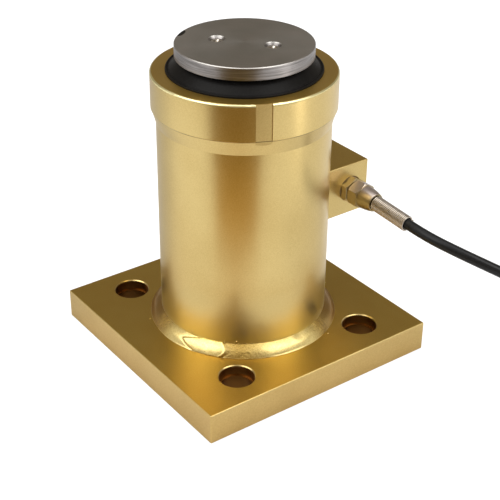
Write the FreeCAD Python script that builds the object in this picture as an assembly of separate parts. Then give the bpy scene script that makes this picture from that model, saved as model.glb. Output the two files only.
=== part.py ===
"""Digital column load cell: a welded steel canister on a square base plate.

Everything is in millimetres. +Z is up, and the origin is the middle of the underside of the base plate.
The load comes down on the round load plate, through the gauged column, into the base plate. The housing
only keeps the weather out, so the dust seal and the thin diaphragm are all that join it to the column.
"""
import FreeCAD
import Part
import math
import os

V = FreeCAD.Vector
UP = V(0, 0, 1)

# Clearances, named once and used wherever two pieces fit together
SLIP = 0.10
FREE = 0.30
THREAD = 0.05

# How far a cutting body stands past the face it cuts, and where a quarter round has its middle
PAST = 1.0
BEND_SHARE = 1 - math.sqrt(0.5)

# Base plate
PLATE_SIDE = 150.0
PLATE_THICK = 18.0
PLATE_EDGE = 0.8
BOLT_PITCH_X = 87.0
BOLT_PITCH_Y = 108.5
BOLT_HOLE_R = 9.0
BOLT_SEAT_R = 9.9
BOLT_SEAT_DEPTH = 6.5
BOLT_HOLE_CHAMFER = 0.5

# Housing: one turned tube with a thicker collar at its top
HOUSING_R = 47.7
HOUSING_WALL = 7.2
HOUSING_HEIGHT = 150.0
COLLAR_STEP = 2.7
COLLAR_LENGTH = 20.4
TAPER_LENGTH = 8.2
COLLAR_TOP_BEVEL = 1.4
COLLAR_CORNER = 0.4
SEAL_LEDGE = 1.7
SEAL_BORE_DEPTH = 10.0
NOTCH_ANGLE = 245.4
NOTCH_WIDTH = 8.7
NOTCH_DEPTH = 1.0

# Fillet weld between housing and base plate
WELD_REACH = 6.6
WELD_RISE = 5.8
WELD_CROWN = 0.7

# Cable block on the side of the housing
BLOCK_REACH = 74.0
BLOCK_WIDTH = 40.0
BLOCK_HEIGHT = 31.0
BLOCK_CENTRE_Z = 86.1
BLOCK_EDGE = 0.6
WIRE_WAY_R = 5.0
WIRE_WAY_END = 6.0

# Gauged column, from the foot up, with the room left round it inside the housing
FOOT_RECESS = 2.0
FOOT_ROOM = 6.5
FOOT_THICK = 12.0
STEM_ROOM = 13.5
STEM_LENGTH = 16.0
WAIST_STEP = 5.0
WAIST_LENGTH = 90.0
FLAT_CUT = 7.0
FLAT_MARGIN = 9.0
FLAT_CUTTER_R = 8.0
NECK_STEP = 2.0
SPIGOT_TO_SCREW = 3.4
SPIGOT_HEIGHT = 1.5
COLUMN_EDGE = 0.8

# Screws that hold the column down, from under the plate
FOOT_BOLT_INSET = 8.0
FOOT_BOLT_R = 4.0
FOOT_BOLT_HEAD_R = 6.5
FOOT_BOLT_HEAD_HEIGHT = 8.0
FOOT_BOLT_GRIP = 9.0
FOOT_BOLT_SEAT_R = 7.2
FOOT_BOLT_COUNT = 4
HEX_SOCKET_WIDTH = 6.0
HEX_SOCKET_DEPTH = 4.0

# Load plate and its two countersunk screws
LOAD_PLATE_ROOM = 5.0
LOAD_PLATE_THICK = 7.2
LOAD_PLATE_EDGE = 0.4
LOAD_PLATE_GAP = 7.2
LOAD_SCREW_INSET = 9.6
LOAD_SCREW_ANGLE = 126.5
LOAD_SCREW_R = 2.0
LOAD_SCREW_HEAD_R = 3.5
LOAD_SCREW_RIM = 0.25
LOAD_SCREW_SUNK = 1.35
LOAD_SCREW_LENGTH = 18.0
CROSS_WIDTH = 1.2
CROSS_LENGTH = 4.6
CROSS_DEPTH = 1.5
CROSS_TURN = 36.0

# Diaphragm, its two rings, and the dust seal
DIAPHRAGM_THICK = 1.0
CORRUGATION = 1.2
CORRUGATION_INSET = 1.0
HUB_RING_WALL = 6.0
CLAMP_RING_WALL = 6.2
CLAMP_RING_HEIGHT = 5.0
SEAL_STANDS_PROUD = 1.1
SEAL_WALL = 3.4
SEAL_SKIN = 1.6
SEAL_BEAD = 2.2
SEAL_ROUND = 0.5
SEAL_GROOVE = 0.35
SEAL_GROOVE_INSET = 1.2

# Strain gauges and the ring board that joins them
GAUGE_LENGTH = 14.0
GAUGE_WIDTH = 9.0
GAUGE_THICK = 0.25
TAB_LENGTH = 4.0
TAB_WIDTH = 8.0
TAB_THICK = 0.6
TAB_DROP = 16.0
BOARD_THICK = 1.6
RING_BOARD_OVER = 1.8
THIN_WIRE_R = 0.4
GAUGE_WIRE_OFF = 1.6
GAUGE_WIRE_DROP = 2.0
GAUGE_WIRE_BEND = 1.5
BRIDGE_LEAD_COUNT = 4
BRIDGE_LEAD_STEP = 2.0
BRIDGE_LEAD_LAP = 4.0

# Converter board on its bracket
BRACKET_OFF = 2.5
BRACKET_THICK = 1.5
BRACKET_WIDTH = 28.0
BRACKET_BELOW_BOARD = 2.0
BRACKET_FOOT = 7.0
BRACKET_CORNER = 3.0
BRACKET_WINDOW_WIDTH = 12.0
BRACKET_WINDOW_HEIGHT = 34.0
SPACER_LENGTH = 3.4
SPACER_R = 2.4
CONVERTER_WIDTH = 38.0
CONVERTER_HEIGHT = 56.0
CONVERTER_LIFT = 22.0
BOARD_SCREW_X = 11.0
BOARD_SCREW_MARGIN = 4.5
BOARD_SCREW_R = 1.2
BOARD_SCREW_HEAD_R = 2.3
BOARD_SCREW_HEAD = 1.6
BOARD_SCREW_SLOT = 0.6
BRACKET_SCREW_X = 12.0
BRACKET_SCREW_R = 1.25
BRACKET_SCREW_HEAD_R = 2.3
BRACKET_SCREW_HEAD = 1.8
BRACKET_SCREW_LENGTH = 8.0
BRACKET_SCREW_SLOT = 0.8
BRACKET_SCREW_SLOT_DEPTH = 1.0
TERMINAL_WAYS = 4
TERMINAL_PITCH = 3.5
TERMINAL_END_WALL = 0.5
TERMINAL_DEPTH = 6.0
TERMINAL_HEIGHT = 7.0
TERMINAL_ENTRY_DEPTH = 3.0
TERMINAL_SCREW_R = 1.2
TERMINAL_SCREW_DEPTH = 1.0

# Parts on the converter board, each placed from the middle of the board's lower edge
SAMPLER_WIDTH = 12.0
SAMPLER_HEIGHT = 8.0
SAMPLER_THICK = 1.8
SAMPLER_Z = 16.0
PROCESSOR_SIDE = 10.0
PROCESSOR_THICK = 1.6
PROCESSOR_Z = 30.0
CRYSTAL_WIDTH = 5.0
CRYSTAL_HEIGHT = 11.0
CRYSTAL_THICK = 2.5
CRYSTAL_X = -14.5
CRYSTAL_Z = 29.5
DRIVER_SIDE = 6.0
DRIVER_THICK = 1.6
DRIVER_X = -13.0
DRIVER_Z = 15.0
CAPACITOR_R = 2.0
CAPACITOR_HEIGHT = 4.5
CAPACITOR_X = 14.0
CAPACITOR_Z = 12.0
CAPACITOR_STEP = 6.0
SUPPLY_CAPACITOR_Z = 42.0

# Cable gland, measured outward from the face of the block
GLAND_X = 61.5
GLAND_HEX = 14.0
GLAND_THREAD_R = 6.0
GLAND_THREAD_IN = 10.0
GLAND_BASE_HEX = 4.7
GLAND_GROOVE = 1.0
GLAND_BASE_OUT = 11.0
HEX_CHAMFER_IN = 1.2
HEX_CHAMFER_BACK = 0.7
NUT_HEX = 7.3
NUT_CONE = 9.2
NUT_SHOULDER_R = 6.7
NUT_MOUTH_R = 5.4
NUT_RIM = 0.5
NUT_BACK_CHAMFER = 0.7
NUT_FRONT_CHAMFER = 1.0
NUT_BULGE = 0.25
SPRING_SEAT_DEPTH = 2.6
SPRING_SEAT_GAP = 0.20
BUSH_LENGTH = 6.0
BUSH_R = 4.6
BUSH_PROUD = 1.0
BUSH_CHAMFER = 0.6
O_RING_R = 6.9
O_RING_SECTION = 0.9

# Strain relief spring, close wound, drooping a little with the cable
SPRING_R = 4.45
SPRING_WIRE = 1.02
SPRING_PITCH = 1.08
SPRING_TURNS = 22
SPRING_TURNS_HELD = 2
SPRING_DROOP = 6.5
SPRING_SWING = 3.5

# Cable
CABLE_R = 3.0
CABLE_HELD_IN = 12.0
HELD_BEND_R = 60.0
CORE_R = 0.6
CORE_COUNT = 4
CORE_STEP = 1.5
CORE_BEND_R = 3.0
CORE_WALL_GAP = 3.0
CORE_LEAD_IN = 7.0
CORE_IN_TERMINAL = 2.0

# Free run of the cable after the spring, chosen by hand, ending where the coil starts
CABLE_POINTS = [
    (63.82, -80.13, 81.77),
    (70.5, -98.0, 78.0),
    (81.6, -116.2, 71.9),
    (91.5, -127.0, 66.0),
    (105.0, -131.8, 59.0),
    (121.0, -130.0, 51.5),
    (136.0, -127.0, 46.2),
]

# Coil of the length that is put away, its ties, and the bare end
COIL_X = 173.0
COIL_Y = -97.0
COIL_R = 27.0
COIL_COLUMNS = 2
COIL_LAYERS = 8
COIL_EDGE = 2.4
COIL_STUB = 24.0
COIL_END_STUB = 12.0
TIE_THICK = 1.1
TIE_WIDTH = 4.0
TIE_LOCK = 5.0
TIE_ANGLES = (35.0, 100.0, 165.0)
TAIL_LENGTH = 24.0
TAIL_ASIDE = 1.5
SLEEVE_R = 3.7
SLEEVE_LENGTH = 18.0
SLEEVE_EDGE = 0.8
SLEEVE_TAPER = 7.2
SLEEVE_MOUTH_R = 2.6
END_CORE_R = 0.7
END_CORE_LENGTH = 15.0
END_TIP_R = 0.4
END_TIP_LENGTH = 6.0
END_CORE_FAN = (-20.0, -7.0, 7.0, 20.0)

# Radii that follow from the sizes above, from the housing inwards
HOUSING_BORE_R = HOUSING_R - HOUSING_WALL
COLLAR_R = HOUSING_R + COLLAR_STEP
SEAL_BORE_R = HOUSING_BORE_R + SEAL_LEDGE
FOOT_R = HOUSING_BORE_R - FOOT_ROOM
STEM_R = HOUSING_BORE_R - STEM_ROOM
WAIST_R = STEM_R - WAIST_STEP
FLAT_HALF = WAIST_R - FLAT_CUT
NECK_R = STEM_R - NECK_STEP
FOOT_BOLT_CIRCLE_R = FOOT_R - FOOT_BOLT_INSET
LOAD_PLATE_R = SEAL_BORE_R - LOAD_PLATE_ROOM
LOAD_SCREW_REACH = NECK_R - LOAD_SCREW_INSET
SPIGOT_R = LOAD_SCREW_REACH - SPIGOT_TO_SCREW
HUB_RING_R = NECK_R + HUB_RING_WALL
CLAMP_RING_BORE_R = SEAL_BORE_R - CLAMP_RING_WALL
RING_BOARD_R = STEM_R + RING_BOARD_OVER
GAUGE_WIRE_REACH = WAIST_R + GAUGE_WIRE_OFF
BRACKET_FACE = STEM_R + BRACKET_OFF

# Levels and places that follow
HOUSING_TOP = PLATE_THICK + HOUSING_HEIGHT
COLLAR_BOTTOM = HOUSING_TOP - COLLAR_LENGTH
TAPER_BOTTOM = COLLAR_BOTTOM - TAPER_LENGTH
SEAL_FLOOR = HOUSING_TOP - SEAL_BORE_DEPTH
FOOT_BOTTOM = PLATE_THICK - FOOT_RECESS
FOOT_TOP = FOOT_BOTTOM + FOOT_THICK
STEM_TOP = FOOT_TOP + STEM_LENGTH
WAIST_TOP = STEM_TOP + WAIST_LENGTH
FLAT_LOW = STEM_TOP + FLAT_MARGIN
FLAT_HIGH = WAIST_TOP - FLAT_MARGIN
GAUGE_LEVEL = (FLAT_LOW + FLAT_HIGH) / 2
FOOT_BOLT_SEAT = FOOT_BOLT_HEAD_HEIGHT + FREE
FOOT_BOLT_END = FOOT_BOTTOM + FOOT_BOLT_GRIP
CONVERTER_LOW = FOOT_TOP + CONVERTER_LIFT
CONVERTER_FACE = BRACKET_FACE - SPACER_LENGTH - BOARD_THICK
BRACKET_TOP = CONVERTER_LOW + CONVERTER_HEIGHT - BRACKET_BELOW_BOARD
LOAD_PLATE_BOTTOM = HOUSING_TOP + LOAD_PLATE_GAP
LOAD_PLATE_TOP = LOAD_PLATE_BOTTOM + LOAD_PLATE_THICK
LOAD_SCREW_TOP = LOAD_PLATE_TOP - LOAD_SCREW_SUNK
BLOCK_FACE_Y = -BLOCK_WIDTH / 2
NUT_START = GLAND_BASE_HEX + GLAND_GROOVE
NUT_CONE_START = NUT_START + NUT_HEX
NUT_END = NUT_CONE_START + NUT_CONE
BUSH_START = GLAND_BASE_OUT + BUSH_PROUD - BUSH_LENGTH
BUSH_END = BUSH_START + BUSH_LENGTH
GLAND_BORE_R = CABLE_R + FREE
GLAND_CORNER_R = GLAND_HEX / math.sqrt(3)
SPRING_OUT = SPRING_TURNS * SPRING_PITCH
COIL_FLOOR = TIE_THICK + SLIP
COIL_OUTER_R = COIL_R + COIL_COLUMNS * CABLE_R
COIL_INNER_R = COIL_R - COIL_COLUMNS * CABLE_R
COIL_TOP = COIL_FLOOR + 2 * CABLE_R * COIL_LAYERS
COIL_LAST_R = COIL_OUTER_R - CABLE_R
COIL_LEAVES_R = COIL_OUTER_R + CABLE_R


def disc(radius, low, high, x=0.0, y=0.0):
    """A round bar that stands on the level low."""
    return Part.makeCylinder(radius, high - low, V(x, y, low))


def ring(outer, inner, low, high):
    """A washer shape round the main axis."""
    return disc(outer, low, high).cut(disc(inner, low - PAST, high + PAST))


def block(x0, x1, y0, y1, z0, z1):
    """A box between the given limits."""
    return Part.makeBox(x1 - x0, y1 - y0, z1 - z0, V(x0, y0, z0))


def turned(start, *steps):
    """A solid turned about Z. A step is the next (radius, height), or a pair of points for an arc."""
    edges = []
    here = V(start[0], 0, start[1])
    first = here
    for step in steps:
        if isinstance(step[0], tuple):
            middle, end = (V(p[0], 0, p[1]) for p in step)
            edges.append(Part.Arc(here, middle, end).toShape())
        else:
            end = V(step[0], 0, step[1])
            edges.append(Part.makeLine(here, end))
        here = end
    if here.distanceToPoint(first) > 1e-6:
        edges.append(Part.makeLine(here, first))
    face = Part.Face(Part.Wire(edges))
    solid = Part.Solid(face.revolve(V(0, 0, 0), UP, 360))
    if solid.Volume < 0:
        solid.reverse()
    return solid


def hexagon(across_flats, low, high):
    """A six-sided bar with a corner at the top once it lies along the gland's axis."""
    radius = across_flats / math.sqrt(3)
    corners = [V(radius * math.cos(math.radians(a)), radius * math.sin(math.radians(a)), low)
               for a in range(30, 391, 60)]
    return Part.Face(Part.makePolygon(corners)).extrude(V(0, 0, high - low))


def softened(solid, radius, wanted):
    """The solid with a fillet on each edge that wanted() picks."""
    edges = [e for e in solid.Edges if wanted(e)]
    return solid.makeFillet(radius, edges)


def turned_copies(solid, count, first_angle=0.0):
    """Copies of one solid, evenly spaced about the main axis."""
    copies = []
    for k in range(count):
        copy = solid.copy()
        copy.rotate(V(0, 0, 0), UP, first_angle + 360.0 * k / count)
        copies.append(copy)
    return copies


def on_gland_axis(solid):
    """Lays a solid that was built up +Z along the gland, with height 0 at the face of the block."""
    moved = solid.copy()
    moved.rotate(V(0, 0, 0), V(1, 0, 0), 90)
    moved.translate(V(GLAND_X, BLOCK_FACE_Y, BLOCK_CENTRE_Z))
    return moved


def aimed(solid, origin, direction):
    """Turns a solid built up +Z into a direction, and moves it to its origin."""
    moved = solid.copy()
    moved.Placement = FreeCAD.Placement(origin, FreeCAD.Rotation(UP, direction))
    return moved


def rounded_path(points, bend=None):
    """Straight runs joined by tangent arcs: the wire, its length and the radius at each inner point."""
    edges = []
    radii = []
    here = points[0]
    for before, point, after in zip(points, points[1:], points[2:]):
        into = (point - before).normalize()
        out = (after - point).normalize()
        half_turn = into.getAngle(out) / 2
        shorter = min(point.distanceToPoint(before), point.distanceToPoint(after))
        radius = bend or 0.45 * shorter / math.tan(half_turn)
        reach = radius * math.tan(half_turn)
        start = point - into * reach
        end = point + out * reach
        middle = point + (out - into).normalize() * (radius / math.cos(half_turn) - radius)
        edges.append(Part.makeLine(here, start))
        edges.append(Part.Arc(start, middle, end).toShape())
        radii.append(radius)
        here = end
    edges.append(Part.makeLine(here, points[-1]))
    wire = Part.Wire(edges)
    return wire, wire.Length, radii


def tube_along(points, radius, bend=None):
    """A round cord along a rounded path."""
    wire, length, radii = rounded_path(points, bend)
    start = Part.Wire(Part.makeCircle(radius, points[0], points[1] - points[0]))
    solid = Part.Solid(wire.makePipeShell([start], True, False))
    if solid.Volume < 0:
        solid.reverse()
    return solid, length, radii


def bolt_places():
    """The middle of each of the four fixing holes."""
    return [(sx * BOLT_PITCH_X / 2, sy * BOLT_PITCH_Y / 2) for sx in (-1, 1) for sy in (-1, 1)]


def foot_bolt_places():
    """The middle of each screw that holds the column down."""
    turn = 2 * math.pi / FOOT_BOLT_COUNT
    angles = [math.pi / 4 + k * turn for k in range(FOOT_BOLT_COUNT)]
    return [(FOOT_BOLT_CIRCLE_R * math.cos(a), FOOT_BOLT_CIRCLE_R * math.sin(a)) for a in angles]


def load_screw_places():
    """The middle of each countersunk screw in the load plate."""
    angle = math.radians(LOAD_SCREW_ANGLE)
    x = LOAD_SCREW_REACH * math.cos(angle)
    y = LOAD_SCREW_REACH * math.sin(angle)
    return [(x, y), (-x, -y)]


# The welded body: base plate, housing, weld bead and cable block
def base_plate():
    """Square plate with a recess for the column's foot, four fixing holes and four sunk screw holes."""
    half = PLATE_SIDE / 2
    plate = block(-half, half, -half, half, 0, PLATE_THICK)
    plate = plate.makeFillet(PLATE_EDGE, plate.Edges)
    cuts = [disc(FOOT_R + SLIP, FOOT_BOTTOM, PLATE_THICK + PAST)]
    for x, y in bolt_places():
        step = PLATE_THICK - BOLT_SEAT_DEPTH
        cuts.append(disc(BOLT_HOLE_R, -PAST, step + PAST, x, y))
        cuts.append(disc(BOLT_SEAT_R, step, PLATE_THICK + PAST, x, y))
        lip = BOLT_SEAT_R + BOLT_HOLE_CHAMFER
        edge = PLATE_THICK - BOLT_HOLE_CHAMFER
        cuts.append(Part.makeCone(BOLT_SEAT_R, lip, BOLT_HOLE_CHAMFER, V(x, y, edge)))
    for x, y in foot_bolt_places():
        cuts.append(disc(FOOT_BOLT_SEAT_R, -PAST, FOOT_BOLT_SEAT, x, y))
        cuts.append(disc(FOOT_BOLT_R + FREE, -PAST, PLATE_THICK, x, y))
    return plate.cut(Part.makeCompound(cuts))


def housing():
    """Turned tube: collar, long taper, plain barrel; stepped bore, milled notch and the wire way."""
    bevel = COLLAR_TOP_BEVEL
    body = turned(
        (HOUSING_BORE_R, PLATE_THICK),
        (HOUSING_R, PLATE_THICK),
        (HOUSING_R, TAPER_BOTTOM),
        (COLLAR_R - COLLAR_CORNER, COLLAR_BOTTOM),
        (COLLAR_R, COLLAR_BOTTOM + COLLAR_CORNER),
        (COLLAR_R, HOUSING_TOP - bevel),
        ((COLLAR_R - bevel * BEND_SHARE, HOUSING_TOP - bevel * BEND_SHARE), (COLLAR_R - bevel, HOUSING_TOP)),
        (SEAL_BORE_R, HOUSING_TOP),
        (SEAL_BORE_R, SEAL_FLOOR),
        (HOUSING_BORE_R, SEAL_FLOOR),
    )
    slot = block(COLLAR_R - NOTCH_DEPTH, COLLAR_R + PAST, -NOTCH_WIDTH / 2, NOTCH_WIDTH / 2,
                 TAPER_BOTTOM, HOUSING_TOP + PAST)
    slot.rotate(V(0, 0, 0), UP, NOTCH_ANGLE)
    wire_way = Part.makeCylinder(WIRE_WAY_R, HOUSING_R, V(0, 0, BLOCK_CENTRE_Z), V(1, 0, 0))
    return body.cut(slot).cut(wire_way)


def base_weld():
    """Fillet weld bead with a crowned face, all the way round the foot of the housing."""
    toe = (HOUSING_R + WELD_REACH, PLATE_THICK)
    top = (HOUSING_R, PLATE_THICK + WELD_RISE)
    crown = (HOUSING_R + WELD_REACH / 2 + WELD_CROWN, PLATE_THICK + WELD_RISE / 2 + WELD_CROWN)
    return turned((HOUSING_R, PLATE_THICK), toe, (crown, top))


def cable_block():
    """Milled block scribed to the housing, with the gland's thread hole and the way in for the wires."""
    half = BLOCK_WIDTH / 2
    low = BLOCK_CENTRE_Z - BLOCK_HEIGHT / 2
    body = block(0, BLOCK_REACH, -half, half, low, low + BLOCK_HEIGHT)
    body = body.makeFillet(BLOCK_EDGE, body.Edges)
    body = body.cut(disc(HOUSING_R, low - PAST, low + BLOCK_HEIGHT + PAST))
    thread = on_gland_axis(disc(GLAND_THREAD_R, -half - WIRE_WAY_END, PAST))
    groove = on_gland_axis(disc(O_RING_R + O_RING_SECTION, -2 * O_RING_SECTION, PAST))
    wire_way = Part.makeCylinder(WIRE_WAY_R, GLAND_X, V(0, 0, BLOCK_CENTRE_Z), V(1, 0, 0))
    return body.cut(thread).cut(groove).cut(wire_way)


# The load path: column, load plate and their screws
def load_column():
    """Turned column with a bolted foot, four milled flats for the gauges and a shoulder for the diaphragm."""
    edge = COLUMN_EDGE
    body = turned(
        (0, FOOT_BOTTOM),
        (FOOT_R, FOOT_BOTTOM),
        (FOOT_R, FOOT_TOP - edge),
        (FOOT_R - edge, FOOT_TOP),
        (STEM_R, FOOT_TOP),
        (STEM_R, STEM_TOP),
        (WAIST_R, STEM_TOP),
        (WAIST_R, WAIST_TOP),
        (STEM_R, WAIST_TOP),
        (STEM_R, SEAL_FLOOR),
        (NECK_R, SEAL_FLOOR),
        (NECK_R, LOAD_PLATE_BOTTOM),
        (SPIGOT_R, LOAD_PLATE_BOTTOM),
        (SPIGOT_R, LOAD_PLATE_BOTTOM + SPIGOT_HEIGHT),
        (0, LOAD_PLATE_BOTTOM + SPIGOT_HEIGHT),
    )
    reach = STEM_R + PAST
    flat = block(FLAT_HALF, FLAT_HALF + 3 * FLAT_CUTTER_R, -reach, reach, FLAT_LOW, FLAT_HIGH)
    flat = softened(flat, FLAT_CUTTER_R, lambda e: abs(e.BoundBox.XMax - FLAT_HALF) < 1e-6
                    and e.BoundBox.YLength > reach)
    holes = [disc(FOOT_BOLT_R + THREAD, FOOT_BOTTOM - PAST, FOOT_BOLT_END + PAST, x, y)
             for x, y in foot_bolt_places()]
    holes += [disc(LOAD_SCREW_R + THREAD, LOAD_PLATE_TOP - LOAD_SCREW_LENGTH - PAST, LOAD_PLATE_TOP, x, y)
              for x, y in load_screw_places()]
    holes += [disc(BRACKET_SCREW_R + THREAD, bracket_screw_end() - PAST, FOOT_TOP + PAST, x, y)
              for x, y in bracket_screw_places()]
    return body.cut(Part.makeCompound(turned_copies(flat, 4))).cut(Part.makeCompound(holes))


def column_screws():
    """Socket head screws, sunk in the underside of the base plate."""
    low = FOOT_BOLT_SEAT - FOOT_BOLT_HEAD_HEIGHT
    screw = disc(FOOT_BOLT_HEAD_R, low, FOOT_BOLT_SEAT)
    screw = screw.fuse(disc(FOOT_BOLT_R, FOOT_BOLT_SEAT, FOOT_BOLT_END)).removeSplitter()
    screw = screw.cut(hexagon(HEX_SOCKET_WIDTH, low - PAST, low + HEX_SOCKET_DEPTH))
    return [screw.translated(V(x, y, 0)) for x, y in foot_bolt_places()]


def load_plate():
    """Hardened disc that takes the load, centred on the column's spigot and held by two sunk screws."""
    edge = LOAD_PLATE_EDGE
    plate = turned(
        (0, LOAD_PLATE_BOTTOM),
        (LOAD_PLATE_R - edge, LOAD_PLATE_BOTTOM),
        (LOAD_PLATE_R, LOAD_PLATE_BOTTOM + edge),
        (LOAD_PLATE_R, LOAD_PLATE_TOP - edge),
        (LOAD_PLATE_R - edge, LOAD_PLATE_TOP),
        (0, LOAD_PLATE_TOP),
    )
    cuts = [disc(SPIGOT_R + SLIP, LOAD_PLATE_BOTTOM - PAST, LOAD_PLATE_BOTTOM + SPIGOT_HEIGHT + SLIP)]
    for x, y in load_screw_places():
        cuts.append(disc(LOAD_SCREW_R + FREE, LOAD_PLATE_BOTTOM - PAST, LOAD_PLATE_TOP, x, y))
        cuts.append(load_screw_head(THREAD).translated(V(x, y, 0)))
    return plate.cut(Part.makeCompound(cuts))


def load_screw_head(extra=0.0):
    """The countersunk head, or the seat cut for it when extra is its clearance."""
    radius = LOAD_SCREW_HEAD_R + extra
    cone_top = LOAD_SCREW_TOP - LOAD_SCREW_RIM
    cone_bottom = cone_top - (radius - LOAD_SCREW_R)
    outline = [(0, cone_bottom), (LOAD_SCREW_R, cone_bottom), (radius, cone_top), (radius, LOAD_SCREW_TOP)]
    if extra:
        outline += [(radius + LOAD_SCREW_SUNK, LOAD_PLATE_TOP), (0, LOAD_PLATE_TOP)]
    else:
        outline += [(0, LOAD_SCREW_TOP)]
    return turned(*outline)


def load_plate_screws():
    """Two countersunk screws with cross recesses, sunk a little below the top of the load plate."""
    shank = disc(LOAD_SCREW_R, LOAD_PLATE_TOP - LOAD_SCREW_LENGTH, LOAD_SCREW_TOP - LOAD_SCREW_RIM)
    screw = load_screw_head().fuse(shank).removeSplitter()
    half = CROSS_LENGTH / 2
    foot = half - CROSS_DEPTH
    wing = [V(-half, 0, 0), V(half, 0, 0), V(foot, 0, -CROSS_DEPTH), V(-foot, 0, -CROSS_DEPTH)]
    slot = Part.Face(Part.makePolygon(wing + wing[:1])).extrude(V(0, CROSS_WIDTH, 0))
    slot.translate(V(0, -CROSS_WIDTH / 2, LOAD_SCREW_TOP))
    slot.rotate(V(0, 0, 0), UP, CROSS_TURN)
    across = slot.copy()
    across.rotate(V(0, 0, 0), UP, 90)
    screw = screw.cut(slot).cut(across)
    return [screw.translated(V(x, y, 0)) for x, y in load_screw_places()]


# The top closure: diaphragm, rings and dust seal
def diaphragm():
    """Thin sheet with one pressed corrugation, centring the column without taking load."""
    low = SEAL_FLOOR
    high = low + DIAPHRAGM_THICK
    inner = NECK_R + SLIP
    outer = SEAL_BORE_R - SLIP
    rise = CORRUGATION
    a = HUB_RING_R + CORRUGATION_INSET
    b = CLAMP_RING_BORE_R - CORRUGATION_INSET
    m = (a + b) / 2
    return turned((inner, low), (a, low), ((m, low + rise), (b, low)), (outer, low), (outer, high),
                  (b, high), ((m, high + rise), (a, high)), (inner, high))


def hub_ring():
    """Sleeve that clamps the inner edge of the diaphragm, pressed down by the load plate."""
    return ring(HUB_RING_R, NECK_R + SLIP, SEAL_FLOOR + DIAPHRAGM_THICK, LOAD_PLATE_BOTTOM)


def clamp_ring():
    """Ring that clamps the outer edge of the diaphragm on the ledge in the housing."""
    low = SEAL_FLOOR + DIAPHRAGM_THICK
    return ring(SEAL_BORE_R - SLIP, CLAMP_RING_BORE_R, low, low + CLAMP_RING_HEIGHT)


def dust_seal():
    """Moulded rubber boot: a foot wall in the housing, a rising skin, and a bead on the hub ring."""
    low = SEAL_FLOOR + DIAPHRAGM_THICK + CLAMP_RING_HEIGHT
    top = HOUSING_TOP + SEAL_STANDS_PROUD
    outer = SEAL_BORE_R - SLIP
    inner = HUB_RING_R + SLIP
    wall = outer - SEAL_WALL
    groove = outer - SEAL_GROOVE_INSET
    bead_top = LOAD_PLATE_BOTTOM - FREE
    bend = SEAL_ROUND * BEND_SHARE
    return turned(
        (outer, low),
        (outer, top - SEAL_ROUND),
        ((outer - bend, top - bend), (outer - SEAL_ROUND, top)),
        (groove + SEAL_GROOVE, top),
        (groove, top - SEAL_GROOVE),
        (groove - SEAL_GROOVE, top),
        (groove - 2 * SEAL_GROOVE, top),
        (inner + SEAL_BEAD, bead_top),
        (inner, bead_top),
        (inner, bead_top - 2 * SEAL_BEAD),
        (inner + SEAL_BEAD, bead_top - 2 * SEAL_BEAD),
        (inner + SEAL_BEAD, bead_top - SEAL_SKIN),
        (wall, top - SEAL_SKIN),
        (wall, low),
    )


# Inside: gauges, boards and wires
def strain_gauges():
    """Foil gauges, one bonded to each milled flat."""
    gauge = block(FLAT_HALF, FLAT_HALF + GAUGE_THICK, -GAUGE_WIDTH / 2, GAUGE_WIDTH / 2,
                  GAUGE_LEVEL - GAUGE_LENGTH / 2, GAUGE_LEVEL + GAUGE_LENGTH / 2)
    return turned_copies(gauge, 4)


def gauge_tabs():
    """Solder tabs bonded below the gauges."""
    top = GAUGE_LEVEL - TAB_DROP
    tab = block(FLAT_HALF, FLAT_HALF + TAB_THICK, -TAB_WIDTH / 2, TAB_WIDTH / 2, top - TAB_LENGTH, top)
    return turned_copies(tab, 4)


def ring_board():
    """Ring-shaped circuit board round the column, where the gauge wires are joined into a bridge."""
    return ring(RING_BOARD_R, WAIST_R + FREE, STEM_TOP, STEM_TOP + BOARD_THICK)


def gauge_wires():
    """Fine wires from each solder tab down to the ring board."""
    x = FLAT_HALF + TAB_THICK + THIN_WIRE_R
    level = GAUGE_LEVEL - TAB_DROP - TAB_LENGTH / 2
    wires = []
    for y in (-TAB_WIDTH / 4, TAB_WIDTH / 4):
        points = [
            V(x, y, level),
            V(x, y, level - GAUGE_WIRE_DROP),
            V(GAUGE_WIRE_REACH, y, FLAT_LOW - THIN_WIRE_R),
            V(GAUGE_WIRE_REACH, y, STEM_TOP + BOARD_THICK),
        ]
        wires += turned_copies(tube_along(points, THIN_WIRE_R, GAUGE_WIRE_BEND)[0], 4)
    return wires


def board_screw_places():
    """X and Z of the four screws in the converter board."""
    low = CONVERTER_LOW + BOARD_SCREW_MARGIN
    high = CONVERTER_LOW + CONVERTER_HEIGHT - BOARD_SCREW_MARGIN
    return [(x, z) for x in (-BOARD_SCREW_X, BOARD_SCREW_X) for z in (low, high)]


def across(radius, y0, y1, x, z):
    """A round bar along Y."""
    return Part.makeCylinder(radius, y1 - y0, V(x, y0, z), V(0, 1, 0))


def bracket_screw_places():
    """The middle of each screw in the bracket's foot, with its head just clear of the stem."""
    reach = STEM_R + BRACKET_SCREW_HEAD_R + SLIP
    y = math.sqrt(reach ** 2 - BRACKET_SCREW_X ** 2)
    return [(-BRACKET_SCREW_X, y), (BRACKET_SCREW_X, y)]


def bracket_screw_end():
    """How deep the bracket screws reach."""
    return FOOT_TOP + BRACKET_THICK - BRACKET_SCREW_LENGTH


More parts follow.
